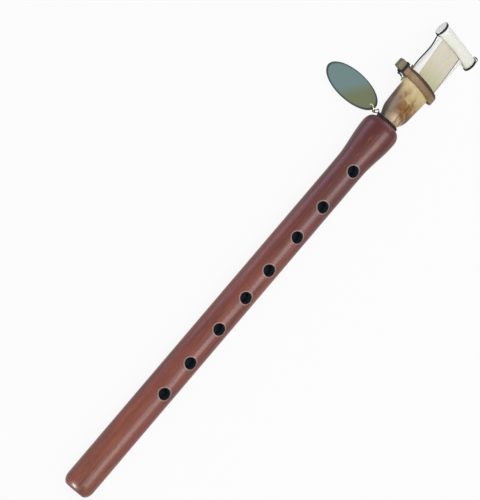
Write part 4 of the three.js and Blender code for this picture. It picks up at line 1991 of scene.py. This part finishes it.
    def build_tether(self, finish: Material) -> Piece:
        """Lay the thread from under the bridle's tie to the cap's left knot.

        Args:
            finish: The thread's material.

        Returns:
            The thread with its hitch.
        """
        place = head_matrix(BRIDLE_AT)
        points = [place @ (Vector(point) * MM) for point in self.tether_route]
        line = smooth_line(points, self.tether_step)
        strand = Strand(self.tether).follow("tether_strand", line)
        middle, half = Vector(self.hitch_at) * MM, Vector((self.hitch_length / 2, 0, 0))
        across, out = Vector((0, self.hitch_radius, 0)), Vector((0, 0, self.hitch_radius))
        turns = coil(middle - half, middle + half, across, out, self.hitch_wraps)
        hitch = Strand(self.hitch_thread).follow("tether_hitch", [place @ point for point in turns])
        cord = merged("tether_thread", [strand, hitch])
        dressed(cord, finish)
        smoothed(cord, THREAD_DEGREES)
        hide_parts("tether")
        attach(cord, "cap")
        return cord


@dataclass
class Tag:
    """The oval plate and its jump ring."""

    length: float = 49 * MM
    width: float = 23.2 * MM
    thickness: float = 0.8 * MM
    rim_width: float = 0.8 * MM
    rim_rise: float = 0.2 * MM
    rim_flat_share: float = 0.75
    edge_round: float = 0.09 * MM
    edge_segments: int = 2
    sharp_degrees: float = 50.0
    plate_crisp_degrees: float = 20.0
    ring_crisp_degrees: float = 40.0
    plate_sides: int = 128
    hole_sides: int = 40
    hole_inset: float = 4 * MM
    hole_radius: float = 0.95 * MM
    ring_radius: float = 3.3 * MM
    ring_steps: int = 96
    wire: float = 1.0 * MM
    wire_sides: int = 24
    ring_from_mouth: float = 3.7 * MM
    ring_outward: float = 14.55 * MM
    ring_drop: float = 1.5 * MM
    ring_slit_degrees: float = 3.0
    ring_slit_at_degrees: float = 70.0

    def ring_matrix(self) -> Matrix:
        """Give the ring's own directions: X along its axis, Y outward."""
        centre = MOUTH + Vector((self.ring_from_mouth, self.ring_outward, -self.ring_drop))
        return Matrix.Translation(centre) @ Matrix.Rotation(-math.radians(RING_TURN_DEGREES), 4, "Z")

    def plate_matrix(self) -> Matrix:
        """Give the plate's own directions from its hole: Y along it, Z out of its face.

        Returns:
            The matrix.
        """
        slope = Matrix.Rotation(-math.radians(TAG_SLOPE_DEGREES), 4, "X")
        out = Matrix.Translation((0, self.ring_radius, 0))
        turn = Matrix.Rotation(math.radians(RING_TURN_DEGREES - TAG_TURN_DEGREES), 4, "Z")
        return self.ring_matrix() @ slope @ out @ turn

    def build_plate(self) -> Piece:
        """Press the plate with its raised rim and punch its hole.

        Returns:
            The plate.
        """
        start_points()
        bpy.ops.mesh.primitive_circle_add(vertices=self.plate_sides, radius=1.0, fill_type="NGON")
        plate = fresh("tag")
        edit(plate)
        middle = self.length / 2 - self.hole_inset
        full = self.thickness / 2 + self.rim_rise
        bpy.ops.transform.resize(value=(self.width / 2, self.length / 2, 1), center_override=(0, 0, 0))
        bpy.ops.transform.translate(value=(0, middle, -full))
        bpy.ops.mesh.extrude_region_move(TRANSFORM_OT_translate={"value": (0, 0, 2 * full)})
        for side in (1, -1):
            bpy.ops.mesh.select_all(action="DESELECT")
            bpy.ops.mesh.select_mode(type="FACE")
            choose_faces(plate, lambda face: self.is_flat(face, side))
            bpy.ops.mesh.inset(thickness=self.rim_width * self.rim_flat_share, depth=0)
            bpy.ops.mesh.inset(thickness=self.rim_width * (1 - self.rim_flat_share), depth=-self.rim_rise)
        closed_up(plate)
        start_points()
        bpy.ops.mesh.primitive_cylinder_add(
            vertices=self.hole_sides, radius=self.hole_radius, depth=4 * full
        )
        cut_away(plate, bpy.context.object)
        rounded(plate, self.edge_round, self.edge_segments, self.sharp_degrees)
        matrix = self.plate_matrix()
        dressed(plate, SheetMetal().build(matrix, self.length, self.width / 2, self.hole_inset))
        placed(plate, matrix)
        return finished(plate, "tag", ["tag_plate"], self.plate_crisp_degrees)

    def is_flat(self, face: bmesh.types.BMFace, side: int) -> bool:
        """Say whether a face is the plate's flat on one side."""
        height = face.calc_center_median().z
        return face.normal.z * height * side > 0 and height * side > 0

    def build_ring(self) -> Piece:
        """Bend the jump ring, with the slit where its two ends meet.

        Returns:
            The ring.
        """
        start_points()
        bpy.ops.mesh.primitive_circle_add(
            vertices=self.wire_sides, radius=self.wire / 2, fill_type="NGON",
            location=(0, self.ring_radius, 0),
        )
        ring = fresh("jump_ring")
        bpy.ops.object.transform_apply(location=True, rotation=True, scale=True)
        edit(ring)
        slit = math.radians(self.ring_slit_degrees)
        bpy.ops.mesh.spin(
            steps=self.ring_steps, angle=2 * math.pi - slit, center=(0, 0, 0), axis=(1, 0, 0)
        )
        closed_up(ring)
        placed(ring, Matrix.Rotation(math.radians(self.ring_slit_at_degrees), 4, "X"))
        dressed(ring, YellowMetal().build())
        placed(ring, self.ring_matrix())
        return finished(ring, "ring", ["tag_ring"], self.ring_crisp_degrees)


@dataclass(frozen=True)
class Lamp:
    """A soft rectangular lamp, placed about the middle of the instrument."""

    name: str
    turn: float  # degrees from the pipe's right side towards its mouth
    elevation: float  # degrees above the table
    distance: float
    width: float
    height: float
    radiance: float
    color: Tone = (255, 255, 255)
    lights_matt: bool = True
    lights_gloss: bool = True


@dataclass
class Studio:
    """The table, the light and the camera."""

    image_height: int = 500
    focal_pixels: float = 2200.0
    camera_distance: float = 1586 * MM
    look_from_mouth: float = 139.9 * MM
    look_beside: float = 21.1 * MM
    back_lean_degrees: float = 8.3
    axis_turn_degrees: float = 49.54
    film_side: float = 36.0
    near_clip: float = 0.01
    table_half: float = 3.0
    table_cells: int = 8
    table_roughness: float = 0.9
    table_specular: float = 0.1
    table_slope: float = 0.00917
    bulb_radius: float = Pipe.bulb_radius
    bulb_from_mouth: float = Pipe.bulb_from_mouth
    sink: float = 0.15 * MM
    white: Tone = (253, 253, 253)
    table_grey: Tone = (226, 227, 229)
    glow_share: float = 0.92
    room_tone: Tone = (240, 243, 247)
    room_light: float = 0.45
    lamps: tuple[Lamp, ...] = (
        Lamp("side_window", 6.0, 49.0, 1.2, 0.9, 0.6, 7.6, lights_matt=False),
        Lamp("soft_ceiling", 0.0, 80.0, 1.8, 1.2, 1.2, 3.6, lights_gloss=False),
        Lamp("soft_side", 0.0, 42.0, 1.8, 1.2, 1.2, 0.7, lights_gloss=False),
        Lamp("foot_glint", -106.0, 20.0, 1.2, 0.5, 0.3, 60.0, lights_matt=False),
        Lamp("cool_wall_left", 164.0, 10.0, 1.25, 0.55, 0.8, 4.6, (224, 210, 252), lights_matt=False),
        Lamp("cool_wall_head", 80.0, 14.0, 1.3, 0.9, 0.5, 5.0, (212, 204, 255), lights_matt=False),
    )

    def directions(self) -> tuple[Vector, Vector, Vector]:
        """Give the picture's right, its up and the way back to the camera.

        Returns:
            Three directions, in that order.
        """
        lean, turn = math.radians(self.back_lean_degrees), math.radians(self.axis_turn_degrees)
        back = Vector((-math.sin(lean), 0, math.cos(lean)))
        level = Vector((math.cos(lean), 0, math.sin(lean)))
        side = Vector((0, 1, 0))
        right = level * math.cos(turn) - side * math.sin(turn)
        up = level * math.sin(turn) + side * math.cos(turn)
        return right, up, back

    def build_camera(self) -> Piece:
        """Put the camera where the photograph was taken from.

        Returns:
            The camera.
        """
        right, up, back = self.directions()
        data = bpy.data.cameras.new("camera")
        data.sensor_fit = "VERTICAL"
        data.sensor_height = self.film_side
        data.lens = self.focal_pixels / self.image_height * self.film_side
        data.clip_start = self.near_clip
        camera = bpy.data.objects.new("camera", data)
        bpy.context.scene.collection.objects.link(camera)
        spot = MOUTH + Vector((-self.look_from_mouth, self.look_beside, 0)) + back * self.camera_distance
        matrix = Matrix((right, up, back)).transposed().to_4x4()
        matrix.translation = spot
        camera.matrix_world = matrix
        bpy.context.scene.camera = camera
        return camera

    def build_table(self) -> Piece:
        """Lay the table under the foot, the bulb and the cap.

        Returns:
            The table.
        """
        start_points()
        bpy.ops.mesh.primitive_grid_add(
            x_subdivisions=self.table_cells, y_subdivisions=self.table_cells, size=2 * self.table_half
        )
        table = fresh("table")
        under_bulb = MOUTH + Vector((-self.bulb_from_mouth, 0, -self.bulb_radius - self.sink))
        placed(table, Matrix.Translation(under_bulb) @ Matrix.Rotation(math.atan(self.table_slope), 4, "Y"))
        dressed(table, self.table_finish())
        return table

    def table_finish(self) -> Material:
        """Make the table's paper: nearly white as the camera sees it, a calmer grey for the light.

        Returns:
            The material.
        """
        recipe = Recipe("table_white")
        from_camera = recipe.node("LightPath").outputs["Is Camera Ray"]
        color = recipe.mix(from_camera, linear(*self.table_grey), linear(*self.white))
        recipe.set(
            Base_Color=color, Roughness=self.table_roughness, Specular_IOR_Level=self.table_specular
        )
        glow = recipe.node("Emission", Color=linear(*self.white)).outputs["Emission"]
        share = recipe.times(recipe.seen(), self.glow_share)
        surface = recipe.blend(share, recipe.shader.outputs["BSDF"], glow)
        recipe.fill(recipe.output.inputs["Surface"], surface)
        return recipe.material

    def lamp(self, lamp: Lamp) -> None:
        """Hang one soft lamp that faces the instrument.

        Args:
            lamp: Its place, size and light.
        """
        aim = MOUTH - Vector((self.look_from_mouth, 0, 0))
        elevation = math.radians(lamp.elevation)
        turn = math.radians(lamp.turn)
        level = Vector((math.sin(turn), -math.cos(turn), 0))
        spot = aim + (level * math.cos(elevation) + Vector((0, 0, math.sin(elevation)))) * lamp.distance
        data = bpy.data.lights.new(lamp.name, "AREA")
        data.shape = "RECTANGLE"
        data.size, data.size_y = lamp.width, lamp.height
        data.energy = lamp.radiance * math.pi * lamp.width * lamp.height
        data.color = linear(*lamp.color)[:3]
        hung = bpy.data.objects.new(lamp.name, data)
        bpy.context.scene.collection.objects.link(hung)
        hung.location = spot
        hung.rotation_euler = (spot - aim).to_track_quat("Z", "Y").to_euler()
        hung.visible_diffuse = lamp.lights_matt
        hung.visible_glossy = lamp.lights_gloss

    def build_light(self) -> None:
        """Light the table from a wide window beside the pipe, in a pale room."""
        world = bpy.data.worlds.new("room")
        bpy.context.scene.world = world
        world.use_nodes = True
        nodes = Nodes(world.node_tree)
        room = nodes.node("Background", Color=linear(*self.room_tone), Strength=self.room_light)
        backdrop = nodes.node("Background", Color=linear(*self.white), Strength=1.0)
        both = (room.outputs["Background"], backdrop.outputs["Background"])
        nodes.node("OutputWorld", Surface=nodes.blend(nodes.seen(), *both))
        for lamp in self.lamps:
            self.lamp(lamp)
        bpy.context.scene.view_settings.view_transform = "Standard"


def main() -> None:
    """Build the camera, the cord and then each sub-assembly in order."""
    logging.basicConfig(level=logging.INFO, format="%(message)s")
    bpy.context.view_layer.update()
    studio = Studio()
    studio.build_camera()
    reed, neck, bridle, cap, tag = Reed(), NeckCord(), Bridle(), Cap(), Tag()
    cap.build_tether(WaxedThread("tether_thread").build(bridle.at + bridle.width / 2))
    thread = WaxedThread().build()
    Pipe().build()
    reed.build(ReedCane().build(bridle.at, reed.panel_half, lambda along: reed.half_sizes(along)[0]))
    reed.build_tenon_wrap(thread)
    neck.build(thread)
    neck.build_tag_cord(thread)
    bridle.build(reed, DARK_CANE.build(bridle.matrix(), bridle.width / 2, bridle.end_reach))
    bridle.build_binding(thread)
    pale = PALE_CANE.build(head_matrix(cap.at), cap.end_width / 2, cap.left_reach)
    for which in Slat:
        cap.build_slat(which, reed, pale)
    left, right = cap.left_reach - cap.binding_inset, cap.binding_inset - cap.right_reach
    cap.build_binding("left_thread", "cap_binding_left", left, cap.left_knot_degrees, reed, thread)
    cap.build_binding("right_thread", "cap_binding_right", right, cap.right_knot_degrees, reed, thread)
    tag.build_ring()
    tag.build_plate()
    studio.build_table()
    studio.build_light()
    log.info("all pieces built")


if __name__ == "__main__":
    main()
